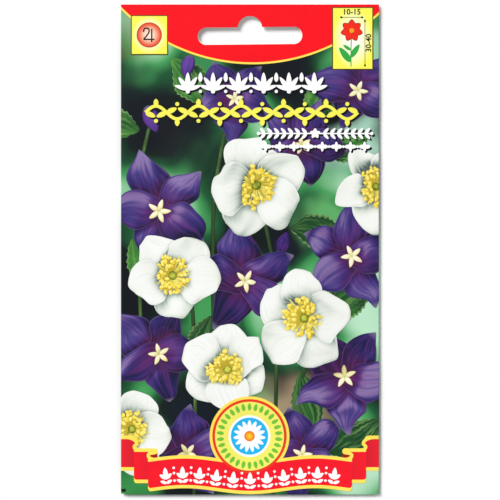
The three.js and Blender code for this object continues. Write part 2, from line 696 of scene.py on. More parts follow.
@dataclass(frozen=True)
class BackdropInk(Finish):
    """The front sheet's own print: blurred foliage and the red header, which carry on round the folds."""

    name: str = "printed_backdrop"
    header_centre: Point = (0.8, 113.37)
    header_radius: float = 56.09
    piping: float = 0.6
    mass_scale: float = 38.0  # masses of leaves about 25 mm across, too far off to be sharp
    wander_scale: float = 90.0
    wander: float = 0.012
    foliage: Stops = (
        *((0.34, "#05070e"), (0.44, "#0c1c18"), (0.51, "#1a5832")),
        *((0.57, "#469e5a"), (0.67, "#aedeb8")),
    )
    blurs: tuple[Blur, ...] = (
        Blur((31.0, 32.0), 9.0, "#b2e0c8", 0.85),
        Blur((38.0, 60.0), 6.0, "#a6d8ba", 0.7),
        Blur((-36.0, 63.0), 7.0, "#66784c", 0.55),
        Blur((-14.0, 57.0), 7.0, "#44a660", 0.65),
        Blur((-36.0, 42.0), 11.0, "#0a121c", 0.92),
        Blur((12.0, 54.0), 8.0, "#080f18", 0.9),
        Blur((-16.0, 32.0), 9.0, "#070f18", 0.88),
        Blur((22.0, 8.0), 7.0, "#6cc274", 0.75),
        Blur((38.0, -20.0), 8.0, "#bce6c8", 0.8),
        Blur((11.0, 0.0), 7.0, "#0c1720", 0.9),
        Blur((-12.0, -20.0), 7.0, "#46a058", 0.85),
        Blur((12.0, -50.0), 10.0, "#a58f74", 0.9),
        Blur((4.0, -68.0), 9.0, "#3fa552", 0.75),
        Blur((36.0, -66.0), 8.0, "#b9e2c4", 0.7),
        Blur((-38.0, -16.0), 8.0, "#070d16", 0.9),
        Blur((-18.0, -50.0), 7.0, "#0c1822", 0.9),
        Blur((-34.0, -72.0), 7.0, "#348c44", 0.7),
    )

    def paint(self, nodes: Nodes) -> Socket:
        """Builds the foliage, and the header over it.

        Args:
            nodes: The material's nodes.

        Returns:
            The colour.
        """
        place = nodes.place()
        links = {"Vector": place, "Scale": self.mass_scale, "Detail": 1.5, "Roughness": 0.4}
        masses = nodes.add("TexNoise", links)
        colour = nodes.ramp(masses, self.foliage)
        wander = nodes.add("TexNoise", {"Vector": place, "Scale": self.wander_scale, "Detail": 1.0}, "Color")
        centred = nodes.vector("SUBTRACT", wander, (0.5, 0.5, 0.5))
        pushed = nodes.vector("MULTIPLY", centred, (self.wander, self.wander, 0.0))
        warped = nodes.vector("MULTIPLY", nodes.vector("ADD", place, pushed), (1.0, 1.0, 0.0))
        for blur in self.blurs:
            reach = blur.radius * METRES_PER_MM
            edge = (reach * (1 - blur.softness), reach * (1 + blur.softness))
            away = nodes.away(warped, blur.centre)
            near = nodes.ranged(away, edge, (blur.strength, 0.0), interpolation_type="SMOOTHSTEP")
            colour = nodes.mix(near, colour, linear(blur.colour))
        from_hub = nodes.away(nodes.vector("MULTIPLY", place, (1.0, 1.0, 0.0)), self.header_centre)
        for radius, code in ((self.header_radius + self.piping, "#ffe45c"), (self.header_radius, "#fa0a1b")):
            inside = nodes.math("LESS_THAN", from_hub, radius * METRES_PER_MM)
            colour = nodes.mix(inside, colour, linear(code))
        return colour


@dataclass(frozen=True)
class BarePaper(Finish):
    """Uncoated white paper: a matt, warm white with short fibres."""

    roughness: ClassVar[float] = 0.7
    specular: ClassVar[float] = 0.5
    fibre_scale: ClassVar[float] = 2400.0

    def paint(self, nodes: Nodes) -> Socket:
        """Builds the fibres.

        Args:
            nodes: The material's nodes.

        Returns:
            The colour.
        """
        # Fibres are 0.03 mm wide in paper and are drawn about 0.4 mm apart here, so that they show.
        links = {"Vector": nodes.place(), "Scale": self.fibre_scale, "Detail": 4.0, "Distortion": 1.5}
        fibres = nodes.add("TexNoise", links)
        nodes.bump(fibres, strength=0.15, distance=0.00005)
        return nodes.ramp(fibres, ((0.3, "#ebe8df"), (0.6, "#f6f4ee")))


@dataclass(frozen=True)
class SeedCoat(Finish):
    """A ripe flower seed's hard coat: near black, shiny, and finely pitted, with painted shade in the pits.
    """

    name: str = "ripe_seed_coat"
    roughness: ClassVar[float] = 0.28
    specular: ClassVar[float] = 0.5
    pit_scale: ClassVar[float] = 6500.0  # pits about 0.15 mm apart

    def paint(self, nodes: Nodes) -> Socket:
        """Builds the pits, and paints shade in them: the coat is darker the deeper a point lies in its pit.

        Args:
            nodes: The material's nodes.

        Returns:
            The colour.
        """
        pits = nodes.add("TexVoronoi", {"Vector": nodes.place(), "Scale": self.pit_scale})
        nodes.bump(pits, strength=0.3, distance=0.00003)
        # Painted shade: the colour darkens towards the bottom of each pit, where the bump is lowest.
        return nodes.ramp(pits, ((0.0, "#0e0b0a"), (0.8, "#2b211b")))


@dataclass(frozen=True)
class FloorPaint(Finish):
    """Matt pale paint with no shine at all."""

    roughness: ClassVar[float] = 0.9
    specular: ClassVar[float] = 0.0

    def paint(self, nodes: Nodes) -> tuple[float, float, float, float]:
        """Gives the floor's one colour."""
        return linear("#fbfbfb")


# Solid inks of the flat print, by the colour that each prints on white.
RED = PlainInk("red_ink", "#fa0a1b")
RIBBON_RED = PlainInk("ribbon_red_ink", "#f41528")
DARK_RED = PlainInk("dark_red_ink", "#a01810")
YELLOW = PlainInk("yellow_ink", "#ffe45c")
LEMON = PlainInk("lemon_ink", "#f6f05a")
WHITE = PlainInk("white_ink", "#ffffff", 0.0)
SHADE = PlainInk("shade_ink", "#0d0f14", 0.0)
BROWN = PlainInk("brown_ink", "#4a3410")
GREEN = PlainInk("green_ink", "#35a944")
LEAF_GREEN = PlainInk("leaf_green_ink", "#74c23c")
SKY = PlainInk("sky_blue_ink", "#24b6ee")


# ---- The paper ----------------------------------------------------------------------------------------


@dataclass(frozen=True)
class Pouch:
    """The filled packet's shape, in millimetres: a flat rim and header round a full belly."""

    width: float = 79.0
    height: float = 150.0
    paper: float = 0.2
    glue: float = 0.05
    rim_lift: float = 0.7
    rise: float = 0.85
    slack: float = 0.05
    wave_lengths: Point = (13.0, 19.0)
    wave_slice: float = 3.7  # where the noise that gives the waves is cut through
    side_margin: float = 9.0
    bottom_margin: float = 13.0
    header: float = 27.0
    side_ramp: float = 14.0
    end_ramp: float = 22.0

    @property
    def back_rim(self) -> float:
        """The underside of the back sheet at the rim."""
        return self.rim_lift + self.paper + self.glue

    @property
    def surface(self) -> float:
        """The printed surface at the rim."""
        return self.back_rim + self.paper + self.glue + self.paper

    @property
    def fold(self) -> float:
        """The outer radius of a folded edge."""
        return (self.surface - self.rim_lift) / 2

    @property
    def fold_x(self) -> float:
        """How far out the side folds start."""
        return self.width / 2 - self.fold

    @property
    def fold_y(self) -> float:
        """Where the bottom fold starts."""
        return self.fold - self.height / 2

    def swell(self, x: float, y: float) -> float:
        """Gives how full the pouch is at a place.

        Args:
            x: Place across the packet.
            y: Place along it.

        Returns:
            0 on the flat rim, and 1 where the pouch is full.
        """
        low, high = -self.height / 2 + self.bottom_margin, self.height / 2 - self.header
        across = (self.width / 2 - self.side_margin - abs(x)) / self.side_ramp
        along = ((high - low) / 2 - abs(y - (low + high) / 2)) / self.end_ramp
        across, along = (min(max(share, 0.0), 1.0) for share in (across, along))
        return across * across * (3 - 2 * across) * along * along * (3 - 2 * along)

    def lift(self, x: float, y: float) -> float:
        """Gives how far the front sheet stands above its rim: the belly, with the slack paper's low waves.

        Args:
            x: Place across the packet.
            y: Place along it.

        Returns:
            The height in millimetres.
        """
        across, along = self.wave_lengths
        waves = noise.noise(Vector((x / across, y / along, self.wave_slice)))
        return self.swell(x, y) * (self.rise + self.slack * waves)

    def top(self, x: float, y: float) -> float:
        """Gives the height of the printed surface at a place, the start of the folds included.

        Args:
            x: Place across the packet.
            y: Place along it.

        Returns:
            The height in millimetres.
        """
        past = max(abs(x) - self.width / 2, -self.height / 2 - y, -self.fold) + self.fold
        drop = self.fold - math.sqrt(max(self.fold**2 - past**2, 0.0))
        return self.surface + self.lift(x, y) - drop


@dataclass(frozen=True)
class HangSlot:
    """The euro slot through the header. Sizes in millimetres, and the skew in degrees."""

    length: float = 32.0
    height: float = 5.3
    crown_radius: float = 3.75
    crown_rise: float = 3.4
    middle: float = 65.4
    skew: float = 0.6
    depth: float = 12.0
    overhang: float = 0.2
    arc_sides: int = 64

    def punch(self, piece: Piece) -> None:
        """Cuts the slot through a piece.

        Args:
            piece: The object to cut.
        """
        half = self.height / 2
        bpy.ops.mesh.primitive_cylinder_add(vertices=self.arc_sides, radius=half, depth=self.depth)
        cutter = fresh("slot_cutter")
        with shaping(cutter):
            for side in (-1, 1):
                pick(cutter, Pick.VERTICES, lambda co, side=side: co.x * side > ON_CUT)
                bpy.ops.transform.translate(value=(side * (self.length / 2 - half), 0.0, 0.0))
        # The crown is a little longer than the slot, so that their ends aren't flush.
        size = {"radius": self.crown_radius, "depth": self.depth + self.overhang}
        above = half + self.crown_rise - self.crown_radius
        bpy.ops.mesh.primitive_cylinder_add(vertices=self.arc_sides, location=(0.0, above, 0.0), **size)
        crown = fresh("slot_crown")
        work_in(cutter, "BOOLEAN", operation="UNION", object=crown, solver="EXACT")
        cutter.data.transform(shift(0.0, self.middle) @ turned(self.skew))
        work_in(piece, "BOOLEAN", operation="DIFFERENCE", object=cutter, solver="EXACT")
        put_away(crown, cutter)


@dataclass
class FrontSheet:
    """The printed sheet, with its side and bottom flaps turned under. Sizes in millimetres."""

    pouch: Pouch
    slot: HangSlot
    backdrop: BackdropInk
    side_flap: float = 8.0
    bottom_flap: float = 12.0
    top_mitre: float = 5.5
    bottom_mitre: float = 7.5
    mitre_gap: float = 1.6
    corner_gap: float = 0.7
    fold_steps: int = 8
    columns: int = 80
    rows: int = 152
    near: float = 1e-3
    cut_edge: float = 0.7  # faces that are turned further endways than this are the paper's cut edges

    def build(self) -> Piece:
        """Folds the sheet.

        Returns:
            The sheet, in millimetres.
        """
        pouch = self.pouch
        bpy.ops.mesh.primitive_grid_add(x_subdivisions=self.columns, y_subdivisions=self.rows, size=1.0)
        sheet = fresh("packet_front_sheet")
        with shaping(sheet):
            bpy.ops.transform.resize(value=(pouch.fold_x * 2, pouch.height - pouch.fold, 1.0))
            bpy.ops.transform.translate(value=(0.0, pouch.fold / 2, pouch.surface))
            self._turn_bottom(sheet)
            pick(sheet, Pick.FACES, lambda co: co.z < pouch.surface - self.near)
            bpy.ops.mesh.hide()
            for side in (-1, 1):
                self._turn_side(sheet, side)
            bpy.ops.mesh.reveal()
            bpy.ops.mesh.select_all(action="SELECT")
            bpy.ops.mesh.normals_make_consistent(inside=False)
        up = max(sheet.data.polygons, key=lambda face: face.center.z)
        if up.normal.z < 0:
            sheet.data.flip_normals()
        work_in(sheet, "SOLIDIFY", thickness=pouch.paper, offset=-1.0)
        self.slot.punch(sheet)
        for vertex in sheet.data.vertices:
            if vertex.co.z > pouch.surface - pouch.fold:
                vertex.co.z += pouch.lift(vertex.co.x, vertex.co.y)
        return sheet

    def _turn_bottom(self, sheet: Piece) -> None:
        """Turns the bottom flap under, and slants both its ends.

        Args:
            sheet: The sheet, in edit mode.
        """
        pouch, low = self.pouch, self.pouch.fold_y
        pick(sheet, Pick.EDGES, lambda co: co.y < low + self.near and abs(co.x) < pouch.fold_x - 0.5)
        self._fold_under((0.0, low), (-1.0, 0.0), (0.0, self.bottom_flap - pouch.fold))
        for side in (-1, 1):
            corner = pouch.fold_x - self.corner_gap
            outer = Vector((side * corner, low, 0.0))
            end = Vector((side * (corner - self.bottom_mitre), self.bottom_flap - pouch.height / 2, 0.0))
            self._slant(sheet, outer, end, Vector((float(side), 0.0, 0.0)), side)

    def _turn_side(self, sheet: Piece, side: int) -> None:
        """Turns a side flap under, and slants both its ends.

        Args:
            sheet: The sheet, in edit mode.
            side: 1 for the right flap and -1 for the left.
        """
        outer_x, inner_x = self.pouch.fold_x, self.pouch.width / 2 - self.side_flap
        pick(sheet, Pick.EDGES, lambda co: co.x * side > outer_x - self.near)
        self._fold_under((side * outer_x, 0.0), (0.0, -side), (side * (inner_x - outer_x), 0.0))
        high = self.pouch.height / 2
        low = -high + self.bottom_flap + self.mitre_gap
        for outer_y, inner_y in ((low - (outer_x - inner_x), low), (high, high - self.top_mitre)):
            outer, end = Vector((side * outer_x, outer_y, 0.0)), Vector((side * inner_x, inner_y, 0.0))
            self._slant(sheet, outer, end, Vector((0.0, outer_y, 0.0)), side)

    def _fold_under(self, hinge: Point, axis: Point, flap: Point) -> None:
        """Turns the picked edge half round, and draws the flap out of it.

        Args:
            hinge: A point on the line that the edge turns about, in plan.
            axis: The way of that line.
            flap: The flap's way and length.
        """
        centre = (*hinge, self.pouch.surface - self.pouch.fold)
        bpy.ops.mesh.spin(steps=self.fold_steps, angle=math.pi, center=centre, axis=(*axis, 0.0))
        bpy.ops.mesh.extrude_region_move(TRANSFORM_OT_translate={"value": (*flap, 0.0)})

    def _slant(self, sheet: Piece, start: Vector, end: Vector, away: Vector, side: int) -> None:
        """Cuts one slanted end of a flap.

        Args:
            sheet: The sheet, in edit mode.
            start: One end of the cut.
            end: Its other end.
            away: Roughly the way of the waste.
            side: The side of the packet that the end is on.
        """
        line = end - start
        normal = Vector((-line.y, line.x, 0.0)).normalized()
        if normal.dot(away) < 0:
            normal.negate()
        level = self.pouch.rim_lift + self.near
        pick(sheet, Pick.FACES, lambda co: co.z < level and co.x * side > 0)
        bpy.ops.mesh.bisect(plane_co=start, plane_no=normal, clear_outer=True, threshold=ON_CUT)

    def dress(self, sheet: Piece) -> None:
        """Prints the outside and leaves the inside and the cut edges bare.

        Args:
            sheet: The sheet, in millimetres.
        """
        pouch = self.pouch
        middle = pouch.surface - pouch.fold
        for face in sheet.data.polygons:
            x, y, z = face.center
            side, foot = abs(x) - pouch.fold_x, pouch.fold_y - y
            if side > 0 or foot > 0:
                radius = math.hypot(max(side, foot), z - middle)
                endways = abs(face.normal.y if side > 0 else face.normal.x)
                outside = radius > pouch.fold - pouch.paper / 2 and endways < self.cut_edge
            else:
                outside = (face.normal.z if z > middle else -face.normal.z) > 0.5
            face.material_index = 0 if outside else 1
        coat(sheet, self.backdrop, BarePaper("front_sheet_core"))


@dataclass
class BackSheet:
    """The plain sheet behind, which bellies out under the seeds. Sizes in millimetres."""

    pouch: Pouch
    slot: HangSlot
    columns: int = 78
    rows: int = 150

    def build(self) -> Piece:
        """Shapes the sheet.

        Returns:
            The sheet, in millimetres.
        """
        pouch, fold = self.pouch, self.pouch.fold
        bpy.ops.mesh.primitive_grid_add(x_subdivisions=self.columns, y_subdivisions=self.rows, size=1.0)
        sheet = fresh("packet_back_sheet")
        with shaping(sheet):
            bpy.ops.transform.resize(value=(pouch.width - 3 * fold, pouch.height - 2 * fold, 1.0))
            bpy.ops.transform.translate(value=(0.0, fold, pouch.back_rim + pouch.paper))
        work_in(sheet, "SOLIDIFY", thickness=pouch.paper, offset=-1.0)
        self.slot.punch(sheet)
        for vertex in sheet.data.vertices:
            vertex.co.z -= pouch.back_rim * pouch.swell(vertex.co.x, vertex.co.y)
        return sheet

    def dress(self, sheet: Piece) -> None:
        """Gives the sheet its bare white paper."""
        coat(sheet, BarePaper("back_sheet_paper"))


# ---- Pressing the print on the paper ------------------------------------------------------------------


class Layer(Enum):
    """How far each layer of flat print stands above the paper, in millimetres."""

    SHADE = 0.122
    GROUND = 0.129
    BAND = 0.136
    FIELD = 0.143
    SIGN = 0.150
    ACCENT = 0.157
    TOP = 0.166
    UPPER = 0.176
    HIGHEST = 0.182


CREASES = (0.0, 0.38, 0.71)  # how far into the fold each crease is, as shares of its radius


def crease(piece: Piece, pouch: Pouch) -> None:
    """Creases artwork where the paper starts to turn round its side and bottom folds.

    Args:
        piece: The artwork, in millimetres.
        pouch: The packet's shape.
    """
    for share in CREASES:
        inset = pouch.fold * (1 - share)
        x = pouch.width / 2 - inset
        slice_at(piece, 0, (x, -x))
        slice_at(piece, 1, (inset - pouch.height / 2,))


@dataclass
class Press:
    """Lays artwork on the paper, and brings it to metres. Sizes in millimetres."""

    pouch: Pouch
    ink_foot: float = 0.002
    back_ink: float = 0.013
    score_step: float = 1.4
    back_score_step: float = 0.8

    def lay(self, piece: Piece, low: float, high: float, depth: float) -> None:
        """Flattens a piece into a thin layer that follows the front sheet.

        Args:
            piece: The artwork, in millimetres, with its height from 0 up.
            low: Where the layer starts above the paper.
            high: Where it ends.
            depth: The artwork's full height.
        """
        for vertex in piece.data.vertices:
            x, y, z = vertex.co
            vertex.co.z = self.pouch.top(x, y) + low + (high - low) * z / depth
        self.hand_over(piece)

    def print_block(self, piece: Piece, layer: Layer, *inks: Finish) -> None:
        """Prints a solid of height 1 as a layer on the front.

        Args:
            piece: The solid.
            layer: The layer.
            inks: Its inks.
        """
        coat(piece, *inks)
        score(piece, self.score_step)
        self.lay(piece, self.ink_foot, layer.value, 1.0)

    def print_flat(self, piece: Piece, layer: Layer, *inks: Finish) -> None:
        """Prints a flat shape as a layer on the front."""
        self.print_block(raised(piece), layer, *inks)

    def print_back(self, piece: Piece, ink: Finish) -> None:
        """Prints a solid of height 1 on the back, drawn as the back is looked at.

        Args:
            piece: The solid.
            ink: Its ink.
        """
        coat(piece, ink)
        score(piece, self.back_score_step)
        for vertex in piece.data.vertices:
            x, y, z = -vertex.co.x, vertex.co.y, vertex.co.z
            under = self.pouch.back_rim * (1 - self.pouch.swell(x, y))
            vertex.co = (x, y, under - self.ink_foot - (self.back_ink - self.ink_foot) * z)
        self.hand_over(piece)

    def hand_over(self, piece: Piece, node: str | None = None) -> None:
        """Brings a finished piece to metres and fixes it to the packet.

        Args:
            piece: The piece, in millimetres.
            node: The solid that it stands for, if any.
        """
        piece.data.transform(Matrix.Scale(METRES_PER_MM, 4))
        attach(piece, "root")
        if node:
            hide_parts(node)
        log.info("%s: %d faces", piece.name, len(piece.data.polygons))


# ---- The printed flowers ------------------------------------------------------------------------------


PETAL_THICKNESS = 0.8
FAR_BELOW = -99.0


@dataclass(frozen=True)
class PetalPattern:
    """A petal or leaf that lies along +Y, and is pulled to shape row by row. Sizes in millimetres."""

    name: str
    length: float
    half_widths: tuple[float, ...]
    heights: tuple[float, ...]
    cup: float
    bow: float = 0.0
    ruffle: float = 0.0
    columns: int = 8
    cup_end: float = 0.92
    ruffle_waves: Point = (17.0, 2.0)
    near: float = 1e-3
    opening: float = 0.0  # how far a flower's petals tip up, in degrees
    inset: float = 0.0  # how far out from the flower's middle they start

    def build(self) -> Piece:
        """Shapes the master petal.

        Returns:
            The petal, a thin closed solid with its foot at the origin.
        """
        last = len(self.half_widths) - 1
        bpy.ops.mesh.primitive_grid_add(x_subdivisions=self.columns, y_subdivisions=last, size=1.0)
        petal = fresh(self.name)
        with shaping(petal):
            bpy.ops.transform.resize(value=(2.0, self.length, 1.0))
            bpy.ops.transform.translate(value=(0.0, self.length / 2, 0.0))
            for row, (half, height) in enumerate(zip(self.half_widths, self.heights, strict=True)):
                pick(petal, Pick.VERTICES, lambda co, y=self.length * row / last: abs(co.y - y) < self.near)
                bpy.ops.transform.resize(value=(half, 1.0, 1.0))
                bpy.ops.transform.translate(value=(0.0, 0.0, height))
        widest = max(self.half_widths)
        for vertex in petal.data.vertices:
            along, out = vertex.co.y / self.length, vertex.co.x / widest
            vertex.co.z += self.cup * out * out * math.sin(math.pi * min(along, self.cup_end))
            wave = self.ruffle_waves[0] * along + self.ruffle_waves[1] * out
            vertex.co.z += self.ruffle * abs(out) ** 3 * math.sin(wave)
            vertex.co.y += self.bow * (1 - out * out) * along**5
        work_in(petal, "SUBSURF", levels=1, render_levels=1)
        work_in(petal, "SOLIDIFY", thickness=PETAL_THICKNESS, offset=0.0)
        return petal


ANEMONE_PETAL = PetalPattern(
    name="anemone_petal",
    length=14.0,
    half_widths=(1.0, 1.9, 3.0, 4.1, 5.1, 5.9, 6.5, 6.9, 7.0, 6.8, 6.2, 5.0, 2.7),
    heights=(0.0, 0.7, 1.4, 2.0, 2.6, 3.1, 3.5, 3.8, 4.0, 4.0, 3.8, 3.3, 2.5),
    cup=2.4,
    bow=1.0,
    ruffle=0.5,
    opening=14.0,
    inset=0.7,
)
BELLFLOWER_LOBE = PetalPattern(
    name="bellflower_lobe",
    length=17.5,
    half_widths=(2.4, 3.2, 4.0, 4.8, 5.4, 5.8, 5.9, 5.6, 5.0, 4.0, 2.8, 1.5, 0.15),
    heights=(0.0, 0.6, 1.2, 1.7, 2.1, 2.3, 2.4, 2.3, 2.0, 1.5, 0.8, 0.0, -0.9),
    cup=-1.7,
    ruffle=0.35,
    opening=6.0,
    inset=-0.4,
)
TOOTHED_LEAF = PetalPattern(
    name="toothed_leaf",
    length=20.0,
    half_widths=(
        *(0.3, 2.0, 1.8, 3.9, 3.1, 5.4, 4.0, 6.4, 4.6, 6.9, 4.9),
        *(6.9, 4.8, 6.4, 4.3, 5.5, 3.4, 4.2, 2.2, 2.6, 0.9, 0.1),
    ),
    heights=(
        *(0.0, 0.3, 0.6, 0.9, 1.1, 1.3, 1.4, 1.5, 1.6, 1.6, 1.6),
        *(1.6, 1.5, 1.4, 1.3, 1.1, 0.9, 0.7, 0.4, 0.1, -0.2, -0.6),
    ),
    cup=1.6,
    ruffle=0.5,
)
STAR_ARM = PetalPattern(
    name="star_arm",
    length=3.4,
    half_widths=(0.35, 0.5, 0.6, 0.62, 0.55, 0.4, 0.15),
    heights=(0.9, 1.2, 1.5, 1.7, 1.7, 1.5, 1.2),
    cup=-0.2,
    columns=4,
)


class Flower(Enum):
    """The two kinds of flower in the picture, by the petal that each is made of."""

    ANEMONE = ANEMONE_PETAL
    BELLFLOWER = BELLFLOWER_LOBE


@dataclass(frozen=True)
class Bloom:
    """Where one flower stands in the picture. Place and height in millimetres, turns in degrees."""

    kind: Flower
    place: Point
    height: float
    size: float
    turn: float
    lean: Point
    petals: int = 5

    def stand(self) -> Matrix:
        """Gives the place and lean of the flower's middle."""
        return shift(*self.place, self.height) @ turned(self.lean[0], "X") @ turned(self.lean[1], "Y")


@dataclass(frozen=True)
class Sprig:
    """Where one leaf or bud lies in the picture. Place and height in millimetres, turns in degrees."""

    place: Point
    height: float
    turn: float
    size: float
    roll: float = 0.0

    def stand(self) -> Matrix:
        """Gives the place and turn of the leaf or bud."""
        lying = shift(*self.place, self.height) @ turned(self.turn) @ turned(self.roll, "Y")
        return lying @ Matrix.Scale(self.size, 4)


BLOOMS = (
    Bloom(Flower.BELLFLOWER, (-27.0, 13.0), 9.0, 1.05, 20.0, (12.0, -8.0)),
    Bloom(Flower.BELLFLOWER, (30.0, -3.0), 8.0, 0.98, 62.0, (-10.0, 12.0)),
    Bloom(Flower.BELLFLOWER, (-2.0, -9.0), 6.0, 1.0, 8.0, (6.0, 6.0)),
    Bloom(Flower.BELLFLOWER, (30.0, -40.0), 9.0, 1.02, 40.0, (-12.0, -10.0)),
    Bloom(Flower.BELLFLOWER, (-29.0, -31.0), 7.0, 0.96, 50.0, (10.0, 12.0)),
    Bloom(Flower.BELLFLOWER, (34.0, 50.0), 5.0, 0.9, 15.0, (14.0, -10.0)),
    Bloom(Flower.BELLFLOWER, (-6.0, 45.0), 4.0, 0.8, 33.0, (-12.0, 14.0)),
    Bloom(Flower.BELLFLOWER, (17.0, -62.0), 6.0, 0.9, 25.0, (8.0, -10.0)),
    Bloom(Flower.BELLFLOWER, (-20.0, -63.0), 6.0, 0.9, 70.0, (-8.0, 8.0)),
    Bloom(Flower.BELLFLOWER, (15.0, 33.0), 4.0, 0.85, 48.0, (10.0, 8.0)),
    Bloom(Flower.ANEMONE, (1.0, 21.0), 15.0, 1.03, 12.0, (14.0, 10.0)),
    Bloom(Flower.ANEMONE, (-25.0, -9.0), 14.0, 0.96, 40.0, (-12.0, 14.0)),
    Bloom(Flower.ANEMONE, (18.0, -20.0), 15.0, 1.02, 65.0, (10.0, -14.0)),
    Bloom(Flower.ANEMONE, (-6.0, -38.0), 13.0, 0.94, 5.0, (-14.0, -8.0), 6),
    Bloom(Flower.ANEMONE, (37.0, 20.0), 13.0, 0.9, 30.0, (8.0, 16.0)),
    Bloom(Flower.ANEMONE, (-35.0, -54.0), 12.0, 0.9, 55.0, (10.0, -12.0)),
)
LEAVES = (
    Sprig((-14.0, 44.0), 1.5, 35.0, 0.85, 14.0),
    Sprig((17.0, 40.0), 1.5, -40.0, 0.8, -12.0),
    Sprig((-36.0, 4.0), 2.0, -150.0, 0.9, 10.0),
    Sprig((12.0, 6.0), 1.0, -95.0, 0.9, -18.0),
    Sprig((38.0, -12.0), 1.5, 120.0, 0.9, 16.0),
    Sprig((-12.0, -20.0), 1.0, 160.0, 0.8, -10.0),
    Sprig((16.0, -38.0), 1.5, -170.0, 0.85, 12.0),
    Sprig((-38.0, -64.0), 1.5, -70.0, 0.9, -10.0),
    Sprig((24.0, -62.0), 1.5, -60.0, 0.9, 14.0),
    Sprig((-34.0, 36.0), 1.2, 70.0, 0.9, -14.0),
    Sprig((36.0, 34.0), 1.2, 110.0, 0.8, 14.0),
)
BUDS = (
    Sprig((-30.0, 40.0), 4.0, 200.0, 0.95),
    Sprig((-19.0, 56.0), 4.0, 165.0, 0.8),
    Sprig((10.0, 2.0), 4.0, -20.0, 0.8),
)
STEMS = (
    ((-27.0, 13.0, 6.0), (-20.0, 0.0, 2.0), (-16.0, -30.0, 1.0), (-17.0, -76.0, 1.0)),
    ((1.0, 21.0, 9.0), (6.0, 5.0, 2.0), (9.0, -20.0, 1.0), (7.0, -76.0, 1.0)),
    ((30.0, -3.0, 6.0), (21.0, -20.0, 2.0), (14.0, -45.0, 1.0), (15.0, -76.0, 1.0)),
    ((-6.0, 45.0, 3.0), (-9.0, 30.0, 1.0), (-12.0, 10.0, 1.0), (-11.0, -30.0, 1.0)),
    ((-30.0, 40.0, 3.0), (-33.0, 30.0, 1.5), (-35.0, 10.0, 1.0), (-33.0, -30.0, 1.0)),
)
PICTURE_INKS = (
    PetalInk(
        "print_of_leaf",
        shades=((0.12, "#0a1a16"), (0.4, "#1b4a26"), (0.68, "#3d8034"), (0.95, "#7fb75a")),
        streak=("#a6cc7a", 0.3),
        streaks=9.0,
        base=("#16351c", 0.5),
        rim=("#9cc878", 0.4),
    ),
    PetalInk("print_of_stem", ((0.1, "#151a14"), (0.5, "#3a5a2e"), (0.9, "#86a556"))),
    PetalInk(
        "print_of_bud",
        shades=((0.15, "#160d38"), (0.5, "#3f2877"), (0.85, "#6a49a6"), (1.0, "#a98ccc")),
        streak=("#8c3a9a", 0.4),
        base=("#5d8a3c", 0.9),
        base_reach=0.3,
    ),
    PetalInk(
        "print_of_bellflower",
        shades=(
            *((0.2, "#05071a"), (0.46, "#15173e"), (0.6, "#251f5a")),
            *((0.74, "#352a6e"), (0.87, "#4d4085"), (1.0, "#8c78ac")),
        ),
        streak=("#6c2b72", 0.45),
        streaks=11.0,
        depth=0.1,
        base=("#78286e", 0.65),
        base_reach=0.6,
        tip=("#a79cba", 0.5),
        rim=("#6a5696", 0.5),
    ),
    PetalInk(
        "print_of_bellflower_star",
        shades=((0.2, "#8a7a3c"), (0.6, "#e8dfa0"), (0.95, "#fdf9dc")),
        base=("#c8d27a", 0.5),
        base_reach=0.3,
    ),
    PetalInk(
        "print_of_anemone",
        shades=((0.1, "#4f5f5a"), (0.34, "#a2b0a6"), (0.56, "#d8dfd5"), (0.76, "#eff1ea"), (0.95, "#f6f7f4")),
        streak=("#c6cfc2", 0.3),
        streaks=15.0,
        depth=0.08,
        base=("#c3cf72", 0.85),
        base_reach=0.34,
        rim=("#ffffff", 0.4),
    ),
    PetalInk("print_of_button", ((0.2, "#5c6a1c"), (0.6, "#b5b93a"), (0.95, "#f0e860"))),
    PetalInk("print_of_thread", ((0.12, "#b8a22c"), (0.4, "#eee06a"), (0.7, "#fdf8b0"))),
    PetalInk("print_of_pollen", ((0.1, "#b4922c"), (0.3, "#e6c840"), (0.5, "#f8e052"), (0.8, "#fdf498"))),
)


def play(dice: random.Random, reach: float) -> float:
    """Draws a number that lies between -reach and reach."""
    return dice.uniform(-reach, reach)


def wobbled(piece: Piece, amount: float, scale: float = 0.13) -> Piece:
    """Bends a piece a little, so that no two flowers are alike. What lies close together bends together.

    Args:
        piece: The piece.
        amount: How far its points may move, in millimetres.
        scale: How quickly the bends change from place to place.

    Returns:
        The piece.
    """
    for vertex in piece.data.vertices:
        vertex.co += amount * noise.noise_vector(vertex.co * scale)
    return piece


def surface_of(pieces: Sequence[Piece]) -> BVHTree:
    """Gathers several pieces into one surface that rays can be cast at.

    Args:
        pieces: The pieces.

    Returns:
        The surface.
    """
    places: list[Vector] = []
    faces: list[list[int]] = []
    for piece in pieces:
        base = len(places)
        places += [vertex.co for vertex in piece.data.vertices]
        faces += [[base + i for i in face.vertices] for face in piece.data.polygons]
    return BVHTree.FromPolygons(places, faces)


def settled(petals: list[Piece], gap: float = 0.25) -> list[Piece]:
    """Presses each petal down below those that lie on it, so that none comes through another.

    Args:
        petals: One flower's petals, the highest first.
        gap: The least space between two petals.

    Returns:
        The petals.
    """
    for number, petal in enumerate(petals):
        undersides = [vertex.normal.z < 0 for vertex in petal.data.vertices]
        for above in petals[:number]:
            tree = surface_of([above])
            for vertex, underside in zip(petal.data.vertices, undersides, strict=True):
                ceiling = tree.ray_cast((vertex.co.x, vertex.co.y, FAR_BELOW), UP)[0]
                if ceiling is not None:
                    limit = ceiling.z - gap - (PETAL_THICKNESS if underside else 0.0)
                    vertex.co.z = min(vertex.co.z, limit)
    return petals


